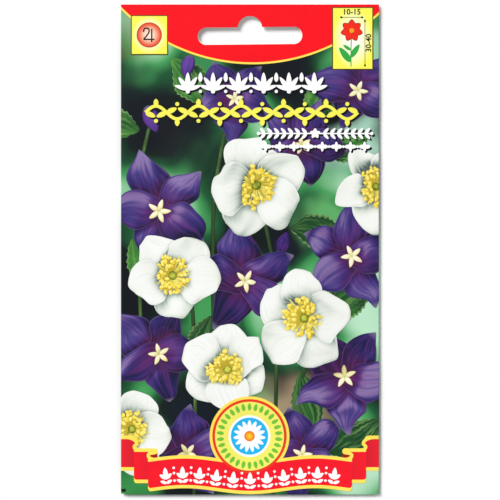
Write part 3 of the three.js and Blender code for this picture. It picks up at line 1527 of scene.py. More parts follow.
def uncovered(heads: list[Piece], petals: list[Piece], room: float = 0.45) -> list[Piece]:
    """Leaves out the pollen heads that a petal covers or cuts.

    Args:
        heads: The pollen heads.
        petals: The petals.
        room: The least distance from a head's middle to a petal.

    Returns:
        The heads that are left.
    """
    tree, kept = surface_of(petals), []
    for head in heads:
        middle = sum((vertex.co for vertex in head.data.vertices), Vector()) / len(head.data.vertices)
        if tree.ray_cast(middle, UP)[0] is None and tree.find_nearest(middle, room)[0] is None:
            kept.append(head)
        else:
            put_away(head)
    return kept


def open_share(tree: BVHTree, start: Vector, rays: Sequence[Vector], reach: float) -> float:
    """Gives the share of rays from a point that meet nothing within reach."""
    return sum(tree.ray_cast(start, ray, reach)[0] is None for ray in rays) / len(rays)


def evened(piece: Piece, levels: list[float], rounds: int = 2) -> list[float]:
    """Evens out values that are held at a mesh's vertices.

    Args:
        piece: The object.
        levels: A value for each vertex.
        rounds: How often each value is drawn towards its neighbours'.

    Returns:
        The evened values.
    """
    for _ in range(rounds):
        sums, counts = list(levels), [1] * len(levels)
        for edge in piece.data.edges:
            a, b = edge.vertices
            for here, there in ((a, b), (b, a)):
                sums[here] += levels[there]
                counts[here] += 1
        levels = [total / count for total, count in zip(sums, counts, strict=True)]
    return levels


@dataclass(frozen=True)
class Daylight:
    """The sun and sky that light the picture while it is in the round. Distances in millimetres."""

    sun: float = 0.6
    sky: float = 0.46
    shaded: float = 0.2  # the share of the sun's light that reaches into a shadow
    upright: float = 0.6  # the share of the sky's light that an upright face gets
    ground: float = 0.74  # how light the picture's lowest points are
    fade: float = 0.02  # how much lighter it grows for each millimetre up
    sun_rays: int = 9
    sun_blur: float = 0.16
    sun_reach: float = 40.0
    sky_rays: int = 16
    sky_reach: float = 9.0
    clearance: float = 0.12

    def paint(self, pieces: Sequence[Piece], dice: random.Random) -> None:
        """Works out how much sun and sky reaches each point of the artwork, and keeps it as an attribute.

        Args:
            pieces: The artwork, still in the round.
            dice: The source of the rays' scatter.
        """
        tree = surface_of(pieces)
        suns = []
        for _ in range(self.sun_rays):
            scatter = Vector([dice.uniform(-1, 1) for _ in range(3)])
            suns.append((SUN + self.sun_blur * scatter).normalized())
        skies = []
        for i in range(self.sky_rays):
            angle, out = i * GOLDEN_TURN, math.sqrt((i + 0.5) / self.sky_rays)
            skies.append(Vector((out * math.cos(angle), out * math.sin(angle), math.sqrt(1 - out * out))))
        for piece in pieces:
            levels = []
            for vertex in piece.data.vertices:
                # The underside is lit as the face above it is, so that a thin petal is alike on both.
                over = vertex.normal.z > 0
                normal = vertex.normal if over else -vertex.normal
                start = vertex.co + normal * (self.clearance if over else self.clearance + PETAL_THICKNESS)
                turn = UP.rotation_difference(normal)
                lit = open_share(tree, start, suns, self.sun_reach)
                open_sky = open_share(tree, start, [turn @ ray for ray in skies], self.sky_reach)
                direct = max(normal.dot(SUN), 0.0) * (self.shaded + (1 - self.shaded) * lit)
                facing = self.upright + (1 - self.upright) * normal.z
                near = min(self.ground + self.fade * vertex.co.z, 1.0)
                levels.append(near * (self.sky * open_sky * facing + self.sun * direct))
            attribute = piece.data.attributes.new(LIGHT, "FLOAT", "POINT")
            attribute.data.foreach_set("value", evened(piece, levels))


@dataclass(frozen=True)
class AnemoneHeart:
    """The button in an anemone's middle, and the ring of threads with their pollen heads.

    Sizes in millimetres, and turns in radians.
    """

    dice: random.Random
    lift: float = 3.7
    button_radius: float = 1.5
    button_lift: float = 1.6
    button_squash: float = 0.75
    lumps: float = 0.16
    lump_scale: float = 2.6
    stamens: int = 125
    foot: float = 1.2
    ring: Point = (2.2, 4.4)  # the ring's inner radius, and how far out from there it reaches
    ring_play: float = 0.7
    turn_play: float = 0.2
    rise: Point = (3.0, 5.2)
    droop: float = 0.05  # how much lower each millimetre out brings a pollen head
    thread_radius: float = 0.19
    thread_bow: float = 0.22
    grain_radius: float = 0.58
    grain_stretch: tuple[float, float, float] = (1.35, 0.85, 0.75)
    grain_sizes: Point = (0.85, 1.3)
    grain_tilt: float = 0.6

    def build(self, blooms: Sequence[Bloom]) -> tuple[list[Piece], list[Piece], list[Piece]]:
        """Sets the hearts of all the anemones.

        Args:
            blooms: The anemones.

        Returns:
            The buttons, the threads and the pollen heads.
        """
        button, thread, grain = self._button(), self._thread(), self._grain()
        buttons, threads, grains = [], [], []
        for bloom in blooms:
            stand, size = bloom.stand() @ shift(z=self.lift), bloom.size
            flattened = Matrix.Diagonal((size, size, size * self.button_squash, 1.0))
            buttons.append((button, stand @ shift(z=self.button_lift * size) @ flattened))
            for i in range(self.stamens):
                foot, tip = self._stamen(i, size)
                span = tip - foot
                lie = span.to_track_quat("Z", "X").to_matrix().to_4x4()
                long = Matrix.Diagonal((size, size, span.length, 1.0))
                threads.append((thread, stand @ shift(*foot) @ lie @ long))
                spin = Matrix.Rotation(self.dice.uniform(0, math.tau), 4, "Z")
                tilt = Matrix.Rotation(play(self.dice, self.grain_tilt), 4, "Y")
                grown = Matrix.Scale(size * self.dice.uniform(*self.grain_sizes), 4)
                grains.append((grain, stand @ shift(*tip) @ spin @ tilt @ grown))
        return laid(buttons), laid(threads), laid(grains)

    def _stamen(self, number: int, size: float) -> tuple[Vector, Vector]:
        """Draws where one stamen stands.

        Args:
            number: Its number, from the middle out.
            size: The flower's enlargement.

        Returns:
            Its foot and its tip.
        """
        angle = number * GOLDEN_TURN + play(self.dice, self.turn_play)
        way = Vector((math.cos(angle), math.sin(angle), 0.0))
        inner, width = self.ring
        spread = width * math.sqrt((number + 0.5) / self.stamens)
        reach = size * (inner + spread + play(self.dice, self.ring_play))
        rise = size * self.dice.uniform(*self.rise) * (1.0 - self.droop * reach) + 1.0
        return way * self.foot * size + self.foot * UP, way * reach + rise * UP

    def _button(self) -> Piece:
        """Shapes the lumpy green button.

        Returns:
            The button.
        """
        bpy.ops.mesh.primitive_ico_sphere_add(subdivisions=4, radius=self.button_radius)
        button = fresh("button")
        for vertex in button.data.vertices:
            vertex.co *= 1.0 + self.lumps * noise.noise(vertex.co * self.lump_scale)
        return button

    def _thread(self) -> Piece:
        """Shapes one thread of height 1, bowed a little.

        Returns:
            The thread.
        """
        bpy.ops.mesh.primitive_cylinder_add(vertices=6, radius=self.thread_radius, depth=1.0, location=UP / 2)
        thread = fresh("thread")
        slice_at(thread, 2, (0.25, 0.5, 0.75))
        for vertex in thread.data.vertices:
            vertex.co.x += self.thread_bow * math.sin(math.pi * min(max(vertex.co.z, 0.0), 1.0))
        return thread

    def _grain(self) -> Piece:
        """Shapes one pollen head, a plump grain.

        Returns:
            The head.
        """
        bpy.ops.mesh.primitive_uv_sphere_add(segments=8, ring_count=5, radius=self.grain_radius)
        grain = fresh("pollen")
        with shaping(grain):
            bpy.ops.transform.resize(value=self.grain_stretch)
        return grain


@dataclass
class FlowerPicture:
    """A picture of white anemones and violet bellflowers: modelled in the round, lit, then pressed flat."""

    press: Press
    blooms: tuple[Bloom, ...] = BLOOMS
    leaves: tuple[Sprig, ...] = LEAVES
    buds: tuple[Sprig, ...] = BUDS
    stems: tuple[tuple[tuple[float, float, float], ...], ...] = STEMS
    foot: float = -74.95
    head: float = 61.0
    corner: float = 0.7
    depth: float = 27.0
    ink_low: float = 0.01
    ink_high: float = 0.115
    turn_play: float = 4.0
    tip_play: float = 1.5
    roll_play: float = 2.0
    petal_sizes: Point = (0.93, 1.07)
    petal_widths: Point = (0.94, 1.05)
    petal_bend: float = 2.2
    leaf_bend: float = 1.6
    star_lift: float = 4.3
    stem_radius: float = 0.6
    bud_girth: float = 2.6
    bud_reach: float = 4.6
    bud_ribs: int = 5
    bud_rib_depth: float = 0.1
    bud_taper: float = 1.2
    bud_taper_from: float = 0.55
    bud_dip: float = 78.0
    petal_steps: tuple[float, ...] = (0.0, 2.0, 0.5, 2.5, 1.25, 3.0)
    seed: int = 11
    dice: random.Random = field(default_factory=lambda: random.Random(11))

    def build(self) -> None:
        """Builds, lights, trims and presses the whole picture."""
        noise.seed_set(self.seed)  # without a seed, noise_vector starts from the clock
        buttons, threads, pollen = AnemoneHeart(self.dice).build(self._all(Flower.ANEMONE))
        layers = {
            "printed_leaves": self._leaves(),
            "printed_stems": self._stems(),
            "printed_buds": self._buds(),
            "printed_bellflowers": self._petals(Flower.BELLFLOWER),
            "printed_bellflower_stars": self._bellflower_stars(),
            "printed_anemones": self._petals(Flower.ANEMONE),
            "printed_anemone_buttons": buttons,
            "printed_anemone_threads": threads,
            "printed_anemone_pollen": pollen,
        }
        layers["printed_anemone_pollen"] = uncovered(pollen, layers["printed_anemones"])
        Daylight().paint([part for parts in layers.values() for part in parts], self.dice)
        for (name, parts), ink in zip(layers.items(), PICTURE_INKS, strict=True):
            piece = joined(name, [part for part in parts if self._trimmed(part)])
            coat(piece, ink)
            crease(piece, self.press.pouch)
            self.press.lay(piece, self.ink_low, self.ink_high, self.depth)

    def _trimmed(self, part: Piece, sliver: float = 0.45) -> bool:
        """Cuts off what runs over the picture's edges.

        Args:
            part: One petal, leaf or other part of the picture.
            sliver: What reaches in less far than this is dropped.

        Returns:
            Whether anything of it is left.
        """
        edges = [((0.0, self.foot), (0.0, -1.0)), ((0.0, self.head), (0.0, 1.0))]
        for side in (-1.0, 1.0):
            edges.append(((side * PRINT_HALF_WIDTH, 0.0), (side, 0.0)))
            edges.append(((side * PRINT_HALF_WIDTH, self.foot + self.corner), (side, -1.0)))
        for point, outwards in edges:
            over = [
                (vertex.co.x - point[0]) * outwards[0] + (vertex.co.y - point[1]) * outwards[1]
                for vertex in part.data.vertices
            ]
            if min(over) > -sliver:
                put_away(part)
                return False
            if max(over) > 0.0:
                cut_off(part, point, outwards)
        return True

    def _all(self, kind: Flower) -> list[Bloom]:
        """Gives the picture's flowers of one kind."""
        return [bloom for bloom in self.blooms if bloom.kind is kind]

    def _petals(self, kind: Flower) -> list[Piece]:
        """Sets the petals of every flower of one kind.

        Args:
            kind: The kind of flower.

        Returns:
            The petals.
        """
        pattern = kind.value
        master = pattern.build()
        copies = []
        for bloom in self._all(kind):
            petals = {}
            for i in range(bloom.petals):
                angle = bloom.turn + i * 360.0 / bloom.petals + play(self.dice, self.turn_play)
                size = bloom.size * self.dice.uniform(*self.petal_sizes)
                place = (
                    bloom.stand()
                    @ turned(angle)
                    @ turned(play(self.dice, self.tip_play) + pattern.opening, "X")
                    @ turned(play(self.dice, self.roll_play), "Y")
                    @ shift(0.0, pattern.inset * bloom.size, self.petal_steps[i])
                    @ Matrix.Diagonal((size * self.dice.uniform(*self.petal_widths), size, size, 1.0))
                )
                petals[self.petal_steps[i]] = wobbled(copied(master, place), self.petal_bend)
            copies += settled([petals[step] for step in sorted(petals, reverse=True)])
        put_away(master)
        return copies

    def _bellflower_stars(self) -> list[Piece]:
        """Makes the pale star in each bellflower's throat.

        Returns:
            The stars' arms.
        """
        master, arms = STAR_ARM.build(), []
        for bloom in self._all(Flower.BELLFLOWER):
            throat = bloom.stand() @ shift(z=self.star_lift)
            for i in range(bloom.petals):
                turn = turned(bloom.turn + (i + 0.5) * 360.0 / bloom.petals)
                arms.append((master, throat @ turn @ Matrix.Scale(bloom.size, 4)))
        return laid(arms)

    def _leaves(self) -> list[Piece]:
        """Lays the leaves.

        Returns:
            The leaves.
        """
        master = TOOTHED_LEAF.build()
        leaves = laid([(master, leaf.stand()) for leaf in self.leaves])
        return [wobbled(leaf, self.leaf_bend) for leaf in leaves]

    def _stems(self) -> list[Piece]:
        """Draws the stems as round rods along smooth curves.

        Returns:
            The stems.
        """
        bevel = {"bevel_depth": self.stem_radius, "bevel_resolution": 2, "use_fill_caps": True}
        rods = [smooth_line(f"stem_{i}", path, steps=40, **bevel) for i, path in enumerate(self.stems)]
        for rod in rods:
            if not rod.data.uv_layers:
                rod.data.uv_layers.new(name="UVMap")
        return rods

    def _buds(self) -> list[Piece]:
        """Shapes the closed buds.

        Returns:
            The buds.
        """
        bpy.ops.mesh.primitive_uv_sphere_add(segments=20, ring_count=16, radius=1.0)
        master = fresh("bud")
        with shaping(master):
            bpy.ops.transform.resize(value=(self.bud_girth, self.bud_girth, self.bud_reach))
        for vertex in master.data.vertices:
            up = (vertex.co.z + self.bud_reach) / (2 * self.bud_reach)
            ribs = self.bud_rib_depth * math.cos(self.bud_ribs * math.atan2(vertex.co.y, vertex.co.x))
            girth = 1.0 + ribs - self.bud_taper * max(up - self.bud_taper_from, 0.0)
            vertex.co.x, vertex.co.y = vertex.co.x * girth, vertex.co.y * girth
        return laid([(master, bud.stand() @ turned(-self.bud_dip, "X")) for bud in self.buds])


# ---- The flat print -----------------------------------------------------------------------------------


def straight(start: Point, end: Point, width: float) -> Piece:
    """Draws a straight line of even width, as a wall of height 1."""
    return stroke("line", [start, halfway(start, end), end], width)


def blanks(leaf: Cut, small: Cut, dot: float, sides: int = 20) -> tuple[Piece, ...]:
    """Cuts the shapes that a row of ornament repeats.

    Args:
        leaf: The large leaf's length, width and point.
        small: The small leaf's.
        dot: The dot's radius.
        sides: The number of the dot's edges.

    Returns:
        The large leaf, the small leaf and the dot, as solids of height 1.
    """
    shapes = (leaf_blank("leaf", *leaf), leaf_blank("bud", *small), disc("dot", (0.0, 0.0), dot, sides))
    return tuple(raised(shape) for shape in shapes)


@dataclass
class HeaderFilm:
    """The red header with its yellow piping, an arc across the sheet. Sizes in millimetres."""

    press: Press
    slot: HangSlot
    backdrop: BackdropInk
    top: float = 74.97
    arc_sides: int = 288

    def build(self) -> None:
        """Prints the header, and punches the hang slot through the print."""
        piping = self.backdrop.piping
        radius = self.backdrop.header_radius + piping
        film = disc("printed_header", self.backdrop.header_centre, radius, self.arc_sides)
        with shaping(film):
            bpy.ops.mesh.inset(thickness=piping)
        field_area = max(face.area for face in film.data.polygons)
        for face in film.data.polygons:
            face.material_index = 0 if face.area == field_area else 1
        cut_off(film, (0.0, self.top), (0.0, 1.0), fill=False)
        for side in (-1.0, 1.0):
            cut_off(film, (side * PRINT_HALF_WIDTH, 0.0), (side, 0.0), fill=False)
        crease(film, self.press.pouch)
        raised(film)
        self.slot.punch(film)
        self.press.print_block(film, Layer.GROUND, RED, YELLOW)


@dataclass
class HeaderTiles:
    """The two yellow tiles in the header's corners, with their plant signs. Sizes in millimetres."""

    press: Press
    border: float = 0.28
    left: tuple[Point, Point] = ((-36.15, 59.85), (-25.35, 71.45))
    right: tuple[Point, Point] = ((25.4, 55.3), (37.4, 73.9))
    yellows: Stops = ((0.35, "#fffff0"), (0.7, "#fdfcb4"), (1.0, "#faf658"))
    sign: Point = (-30.8, 65.65)
    sign_radius: float = 3.85
    sign_reds: Stops = (
        *((0.0, "#fdf5ec"), (0.4, "#fbd0b6"), (0.78, "#f07350")),
        *((0.94, "#e2452c"), (1.0, "#5a1a10")),
    )
    sign_lines: tuple[tuple[Point, ...], ...] = (
        ((-1.75, 0.9), (-1.7, 1.9), (-0.9, 2.15), (-0.1, 1.9), (0.0, 0.9), (-0.7, -0.2), (-1.75, -1.35)),
        ((-1.75, -1.35), (0.0, -1.35), (1.6, -1.35)),
        ((0.75, 1.9), (0.75, 0.0), (0.75, -2.2)),
    )
    line: float = 0.42
    number_height: float = 2.4
    number_weight: float = 0.05
    arrows: tuple[tuple[Point, Point, float], ...] = (
        ((27.5, 71.05), (34.7, 71.05), 0.0),
        ((35.15, 55.9), (35.15, 70.4), 90.0),
    )
    arrow_head: Cut = (0.95, 0.6, 2.2)
    arrow_line: float = 0.16
    flower: Point = (31.1, 67.0)
    petal: Cut = (3.2, 2.1, 1.2)
    petal_edge: Cut = (3.45, 2.45, 1.2)
    petals: int = 7
    heart: float = 0.75
    leaf: Cut = (5.6, 2.0, 1.2)
    growth: tuple[tuple[float, float, float], ...] = (  # how far down the stem, turn and size
        (9.6, 38.0, 1.0),
        (8.2, -34.0, 0.85),
        (6.0, 55.0, 0.5),
    )

    def build(self) -> None:
        """Prints both tiles."""
        out = self.border
        for name, (low, high) in (("left", self.left), ("right", self.right)):
            edge = (low[0] - out, low[1] - out), (high[0] + out, high[1] + out)
            self.press.print_flat(tile(f"printed_{name}_tile_rim", *edge), Layer.BAND, BROWN)
            half = ((high[0] - low[0]) / 2, (high[1] - low[1]) / 2)
            glow = GlowInk(f"{name}_tile_yellow", halfway(low, high), half, self.yellows)
            self.press.print_flat(tile(f"printed_{name}_tile", low, high), Layer.FIELD, glow)
        self._perennial_sign()
        self._sizes()
        self._red_flower()

    def _perennial_sign(self) -> None:
        """Prints the gardeners' sign for a perennial on its red disc."""
        x, y = self.sign
        glow = GlowInk("sign_disc_red", self.sign, (self.sign_radius, self.sign_radius), self.sign_reds)
        self.press.print_flat(disc("printed_sign_disc", self.sign, self.sign_radius), Layer.SIGN, glow)
        lines = [stroke("line", [(x + a, y + b) for a, b in path], self.line) for path in self.sign_lines]
        self.press.print_block(joined("printed_perennial_sign", stacked(lines)), Layer.TOP, SHADE)

    def _sizes(self) -> None:
        """Prints the spacing and the height, each with a plain number and a double arrow."""
        height, weight = self.number_height, self.number_weight
        parts = [
            numeral("10-15", height, centre=(31.1, 72.65), weight=weight),
            numeral("30-40", height, centre=(36.3, 63.2), turn=90.0, weight=weight),
        ]
        for start, end, turn in self.arrows:
            head = raised(leaf_blank("arrow_head", *self.arrow_head))
            parts.append(straight(start, end, self.arrow_line))
            parts += laid([(head, plan(*start, turn - 90.0)), (head, plan(*end, turn + 90.0))])
        self.press.print_block(joined("printed_sizes", stacked(parts, step=0.012)), Layer.TOP, SHADE)

    def _red_flower(self) -> None:
        """Prints a small red flower on its stem."""
        x, y = self.flower
        for name, size, layer, ink in (
            ("printed_flower_edge", self.petal_edge, Layer.ACCENT, DARK_RED),
            ("printed_flower", self.petal, Layer.UPPER, PlainInk("vermilion_ink", "#f02a18")),
        ):
            petal = raised(leaf_blank("petal", *size))
            petals = laid([(petal, plan(x, y, i * 360.0 / self.petals)) for i in range(self.petals)])
            self.press.print_block(joined(name, stacked(petals, step=0.01, levels=2)), layer, ink)
        heart = disc("printed_flower_heart", self.flower, self.heart, sides=24)
        self.press.print_flat(heart, Layer.HIGHEST, PlainInk("ochre_ink", "#f0a020"))
        stem = stroke("stem", [(x, y), (x - 0.3, y - 5.0), (x - 0.2, y - 11.0)], width=0.3)
        leaf = raised(leaf_blank("leaf", *self.leaf))
        places = [(leaf, plan(x - 0.3, y - down, turn, size)) for down, turn, size in self.growth]
        leaves = joined("printed_flower_leaves", stacked([stem, *laid(places)], step=0.01))
        self.press.print_block(leaves, Layer.SIGN, GREEN)


@dataclass
class OrnamentRow(ABC):
    """A row of leaf ornament under the header, with a dark shade at its lower right. Sizes in millimetres."""

    press: Press
    name: str
    left: float
    right: float
    level: float
    height: float
    count: int
    ink: PlainInk = WHITE
    shade: Point = (0.5, -0.5)

    def build(self) -> None:
        """Prints the row and its shade."""
        row = joined(f"printed_{self.name}", stacked(self.shapes()))
        under = copied(row, plan(*self.shade))
        under.name = under.data.name = f"printed_{self.name}_shade"
        self.press.print_block(under, Layer.BAND, SHADE)
        self.press.print_block(row, Layer.UPPER, self.ink)

    @abstractmethod
    def shapes(self) -> list[Piece]:
        """Sets the row's shapes.

        Returns:
            The shapes, as solids of height 1.
        """


@dataclass
class Palmettes(OrnamentRow):
    """Fans of five leaves that stand on the row's level, with a bud between each two."""

    fan_turn: float = 36.0
    fan_root: float = 0.16
    bud_root: float = 0.54
    foot: float = 0.5
    foot_size: float = 1.3

    def shapes(self) -> list[Piece]:
        """Sets the fans and the buds.

        Returns:
            The shapes.
        """
        step, high = (self.right - self.left) / self.count, self.height
        foot, root = self.level + self.foot, self.level + high * self.fan_root
        leaf, bud, dot = blanks(leaf=(high * 0.84, 1.6, 1.25), small=(high * 0.46, 1.25, 1.25), dot=0.5)
        places = []
        for i in range(self.count):
            x = self.left + step * (i + 0.5)
            for k in range(-2, 3):
                places.append((leaf, plan(x, root, -self.fan_turn * k, 1.0 - 0.1 * abs(k))))
            places.append((dot, plan(x, foot, size=self.foot_size)))
            if i < self.count - 1:
                places.append((bud, plan(x + step / 2, self.level + high * self.bud_root)))
                places.append((dot, plan(x + step / 2, foot)))
        return laid(places)


@dataclass
class Scroll(OrnamentRow):
    """A running vine about the row's level: in each bend two leaves and a berry, and a bud outside it."""

    swing: float = 0.27
    berry: float = 0.34
    leaf_turn: float = 24.0
    leaf_gap: float = 0.1
    bend_steps: int = 6

    def shapes(self) -> list[Piece]:
        """Sets the waved stem and what grows on it.

        Returns:
            The shapes.
        """
        y, reach, half = self.level, self.height * self.swing, (self.right - self.left) / self.count / 2
        steps = self.bend_steps
        waves = [math.sin(math.tau * i / (2 * steps)) for i in range(self.count * 2 * steps + 1)]
        path = [(self.left + half * i / steps, y + reach * wave) for i, wave in enumerate(waves)]
        stem = stroke("vine_stem", path, width=1.0)
        leaf, tip, dot = blanks(leaf=(half * 0.5, 1.6, 1.15), small=(self.height * 0.28, 1.5, 1.15), dot=0.62)
        places = []
        for i in range(2 * self.count):
            x, side = self.left + half * i, -1 if i % 2 else 1
            places += [
                (leaf, plan(x + self.leaf_gap, y, -90.0 - side * self.leaf_turn)),
                (leaf, plan(x + half - self.leaf_gap, y, 90.0 + side * self.leaf_turn)),
                (dot, plan(x + half / 2, y - side * self.height * self.berry)),
                (tip, plan(x + half / 2, y + side * reach, 90.0 - side * 90.0)),
            ]
        return [stem, *laid(places)]


@dataclass
class Laurel(OrnamentRow):
    """Two laurel sprays along the row's level that meet at a flower."""

    room: float = 5.0  # what the flower takes of the row's length
    first_leaf: float = 2.6
    leaf_turns: Point = (-42.0, -138.0)
    petals: int = 5

    def shapes(self) -> list[Piece]:
        """Sets the sprays and the flower.

        Returns:
            The shapes.
        """
        centre, y = (self.left + self.right) / 2, self.level
        stem, high = straight((self.left, y), (self.right, y), width=0.4), self.height
        leaf, petal, dot = blanks(leaf=(high * 0.68, 0.95, 1.1), small=(high * 0.48, 1.15, 1.0), dot=0.5)
        places, step = [], (self.right - self.left - self.room) / 2 / self.count
        for side in (-1, 1):
            for i in range(self.count):
                x = centre + side * (self.first_leaf + step * i)
                places += [(leaf, plan(x, y, side * turn)) for turn in self.leaf_turns]
            places.append((dot, plan(centre + side * (self.right - self.left) / 2, y)))
        places += [(petal, plan(centre, y, 360.0 * i / self.petals)) for i in range(self.petals)]
        return [stem, *laid(places)]


@dataclass
class Chain(OrnamentRow):
    """A chain of long leaves in pairs along the row's level, with a dot between each two pairs."""

    def shapes(self) -> list[Piece]:
        """Sets the leaves and the dots.

        Returns:
            The shapes.
        """
        step = (self.right - self.left) / self.count
        leaf, bud, dot = blanks(leaf=(step * 0.42, 1.25, 1.1), small=(self.height * 0.46, 0.9, 1.1), dot=0.42)
        places = []
        for i in range(self.count):
            x = self.left + step * (i + 0.5)
            places += [(leaf, plan(x, self.level, turn)) for turn in (-90.0, 90.0)]
            places += [(bud, plan(x, self.level, turn)) for turn in (0.0, 180.0)]
            if i < self.count - 1:
                places.append((dot, plan(x + step / 2, self.level)))
        return laid(places)


@dataclass(frozen=True)
class RibbonLength:
    """A length of the ribbon that is folded behind, as it is on the right. Sizes in millimetres."""

    name: str
    reach: Point
    foot: float
    head: float
    layer: Layer
    reds: Stops
    inner_corner: float = 0.0
    outer_corner: float = 0.0


def drawn_in(x: float, edge: float, radius: float) -> float:
    """Gives how far a rounded corner has drawn in at a place across.

    Args:
        x: The place.
        edge: Where the corner ends.
        radius: The corner's radius, or 0 for none.

    Returns:
        How far in from the straight edge the outline is.
    """
    past = min(max((x - edge) / radius + 1.0, 0.0), 1.0) if radius else 0.0
    return radius * (1.0 - math.sqrt(1.0 - past * past))


@dataclass
class Ribbon:
    """The red ribbon along the foot, with yellow edges and both ends folded behind. Sizes in millimetres."""

    press: Press
    middle: float = -68.8
    height: float = 10.1
    half_length: float = 31.2
    wave: float = 0.9
    wavelength: float = 40.0
    corner: float = 1.0
    rows: int = 10
    sprigs: int = 11
    sprig_reach: float = 25.8
    columns: int = 180
    leaf: Cut = (3.7, 1.55, 1.2)
    side_leaf: Cut = (2.3, 1.15, 1.2)
    side_turn: float = 52.0
    lower_turn: float = 65.0
    dots: tuple[float, ...] = (1.9, 0.3, -2.0)
    folded: tuple[RibbonLength, ...] = (
        RibbonLength(
            name="end",
            reach=(34.9, 39.45),
            foot=-67.6,
            head=-56.85,
            layer=Layer.SHADE,
            reds=((0.0, "#d21a2c"), (0.5, "#de1c2d"), (1.0, "#ec1c2e")),
            inner_corner=1.5,
        ),
        RibbonLength(
            name="fold",
            reach=(31.0, 35.5),
            foot=-71.4,
            head=-60.75,
            layer=Layer.GROUND,
            reds=((0.0, "#e41a2b"), (0.5, "#f0182a"), (1.0, "#f71729")),
            outer_corner=0.8,
        ),
    )
    curl: tuple[tuple[Point, ...], ...] = (
        ((39.45, -57.4), (37.6, -57.35), (36.1, -57.7), (35.0, -58.4), (34.55, -59.2), (34.8, -59.75)),
        ((34.75, -59.55), (35.3, -59.95), (35.45, -60.5), (35.0, -61.0)),
        ((35.2, -61.0), (34.3, -61.35), (32.5, -61.3), (30.7, -61.3), (29.1, -61.2)),
        ((29.1, -62.1), (30.2, -62.2), (31.0, -62.45), (31.15, -63.2), (30.6, -63.85), (29.6, -64.05)),
    )
    curl_end: Point = (29.15, -61.65)
    curl_end_radius: float = 0.93
    inside: tuple[Point, Point] = ((28.3, -63.8), (30.9, -62.3))

    def build(self) -> None:
        """Prints the ribbon."""
        for where, side in (("left", -1), ("right", 1)):
            for length in self.folded:
                self._length(length, where, side)
            self._curl(where, side)
        half = self.half_length
        band = tile("printed_ribbon", (-half, -0.5), (half, 0.5), self.columns, self.rows)
        for vertex in band.data.vertices:
            x, up = vertex.co.x, vertex.co.y
            lift = drawn_in(abs(x), half, self.corner) * (0.5 - up)
            vertex.co.y = self._centre(x) + up * self.height + lift
        self._print(band, Layer.BAND, RIBBON_RED)
        self._sprigs()

    def _centre(self, x: float) -> float:
        """Gives the height of the ribbon's middle line at a place across."""
        return self.middle - self.wave * math.cos(math.tau * x / self.wavelength)

    def _print(self, piece: Piece, layer: Layer, red: Finish) -> None:
        """Prints a ruled piece in red, with its first and last rows in yellow.

        Args:
            piece: The piece.
            layer: The layer.
            red: Its red ink.
        """
        columns = len(piece.data.polygons) // self.rows
        for number, face in enumerate(piece.data.polygons):
            face.material_index = 1 if number // columns in (0, self.rows - 1) else 0
        crease(piece, self.press.pouch)
        self.press.print_flat(piece, layer, red, YELLOW)

    def _length(self, length: RibbonLength, where: str, side: int) -> None:
        """Prints one of the lengths that are folded behind.

        Args:
            length: The length.
            where: The name of the side.
            side: 1 for the right side and -1 for the left.
        """
        name, (inner, outer) = f"printed_{where}_ribbon_{length.name}", length.reach
        low, high = sorted((side * inner, side * outer))
        piece = tile(name, (low, length.foot), (high, length.head), columns=18, rows=self.rows)
        for vertex in piece.data.vertices:
            x, up = side * vertex.co.x, (vertex.co.y - length.foot) / (length.head - length.foot)
            vertex.co.y -= drawn_in(-x, -inner, length.inner_corner) * up
            vertex.co.y += drawn_in(x, outer, length.outer_corner) * (1.0 - up)
        across_only = (outer - inner, 1e6)
        red = GlowInk(f"{name}_red", (side * inner, 0.0), across_only, length.reds)
        self._print(piece, length.layer, red)

    def _curl(self, where: str, side: int) -> None:
        """Prints the yellow edge where it curls round both folds, and the red inside of the curl.

        Args:
            where: The name of the side.
            side: 1 for the right side and -1 for the left.
        """
        parts = [stroke("curl", [(side * x, y) for x, y in path], width=1.0) for path in self.curl]
        x, y = self.curl_end
        parts.append(raised(disc("bend", (side * x, y), self.curl_end_radius, sides=32)))
        self.press.print_block(joined(f"printed_{where}_ribbon_curl", stacked(parts)), Layer.SIGN, YELLOW)
        (inner, foot), (outer, head) = self.inside
        low, high = sorted((side * inner, side * outer))
        inside = tile(f"printed_{where}_ribbon_inside", (low, foot), (high, head))
        self.press.print_flat(inside, Layer.GROUND, DARK_RED)

    def _sprigs(self) -> None:
        """Prints a white row of sprigs along the ribbon, with three dots between each two."""
        leaf, side_leaf, dot = blanks(self.leaf, self.side_leaf, dot=0.4, sides=16)
        places = []
        for i in range(2 * self.sprigs - 1):
            x = -self.sprig_reach + self.sprig_reach * i / (self.sprigs - 1)
            lean = math.degrees(math.atan2(self._centre(x + 0.1) - self._centre(x - 0.1), 0.2))
            here = plan(x, self._centre(x) - 0.6, lean)
            if i % 2:
                places += [(dot, here @ plan(0.0, rise)) for rise in self.dots]
                continue
            places.append((leaf, here @ plan(0.0, -1.5)))
            for side in (-1, 1):
                places.append((side_leaf, here @ plan(0.0, -1.2, side * self.side_turn)))
                places.append((side_leaf, here @ plan(0.0, -2.6, side * self.lower_turn, size=0.86)))
        self.press.print_block(joined("printed_ribbon_sprigs", stacked(laid(places))), Layer.TOP, WHITE)


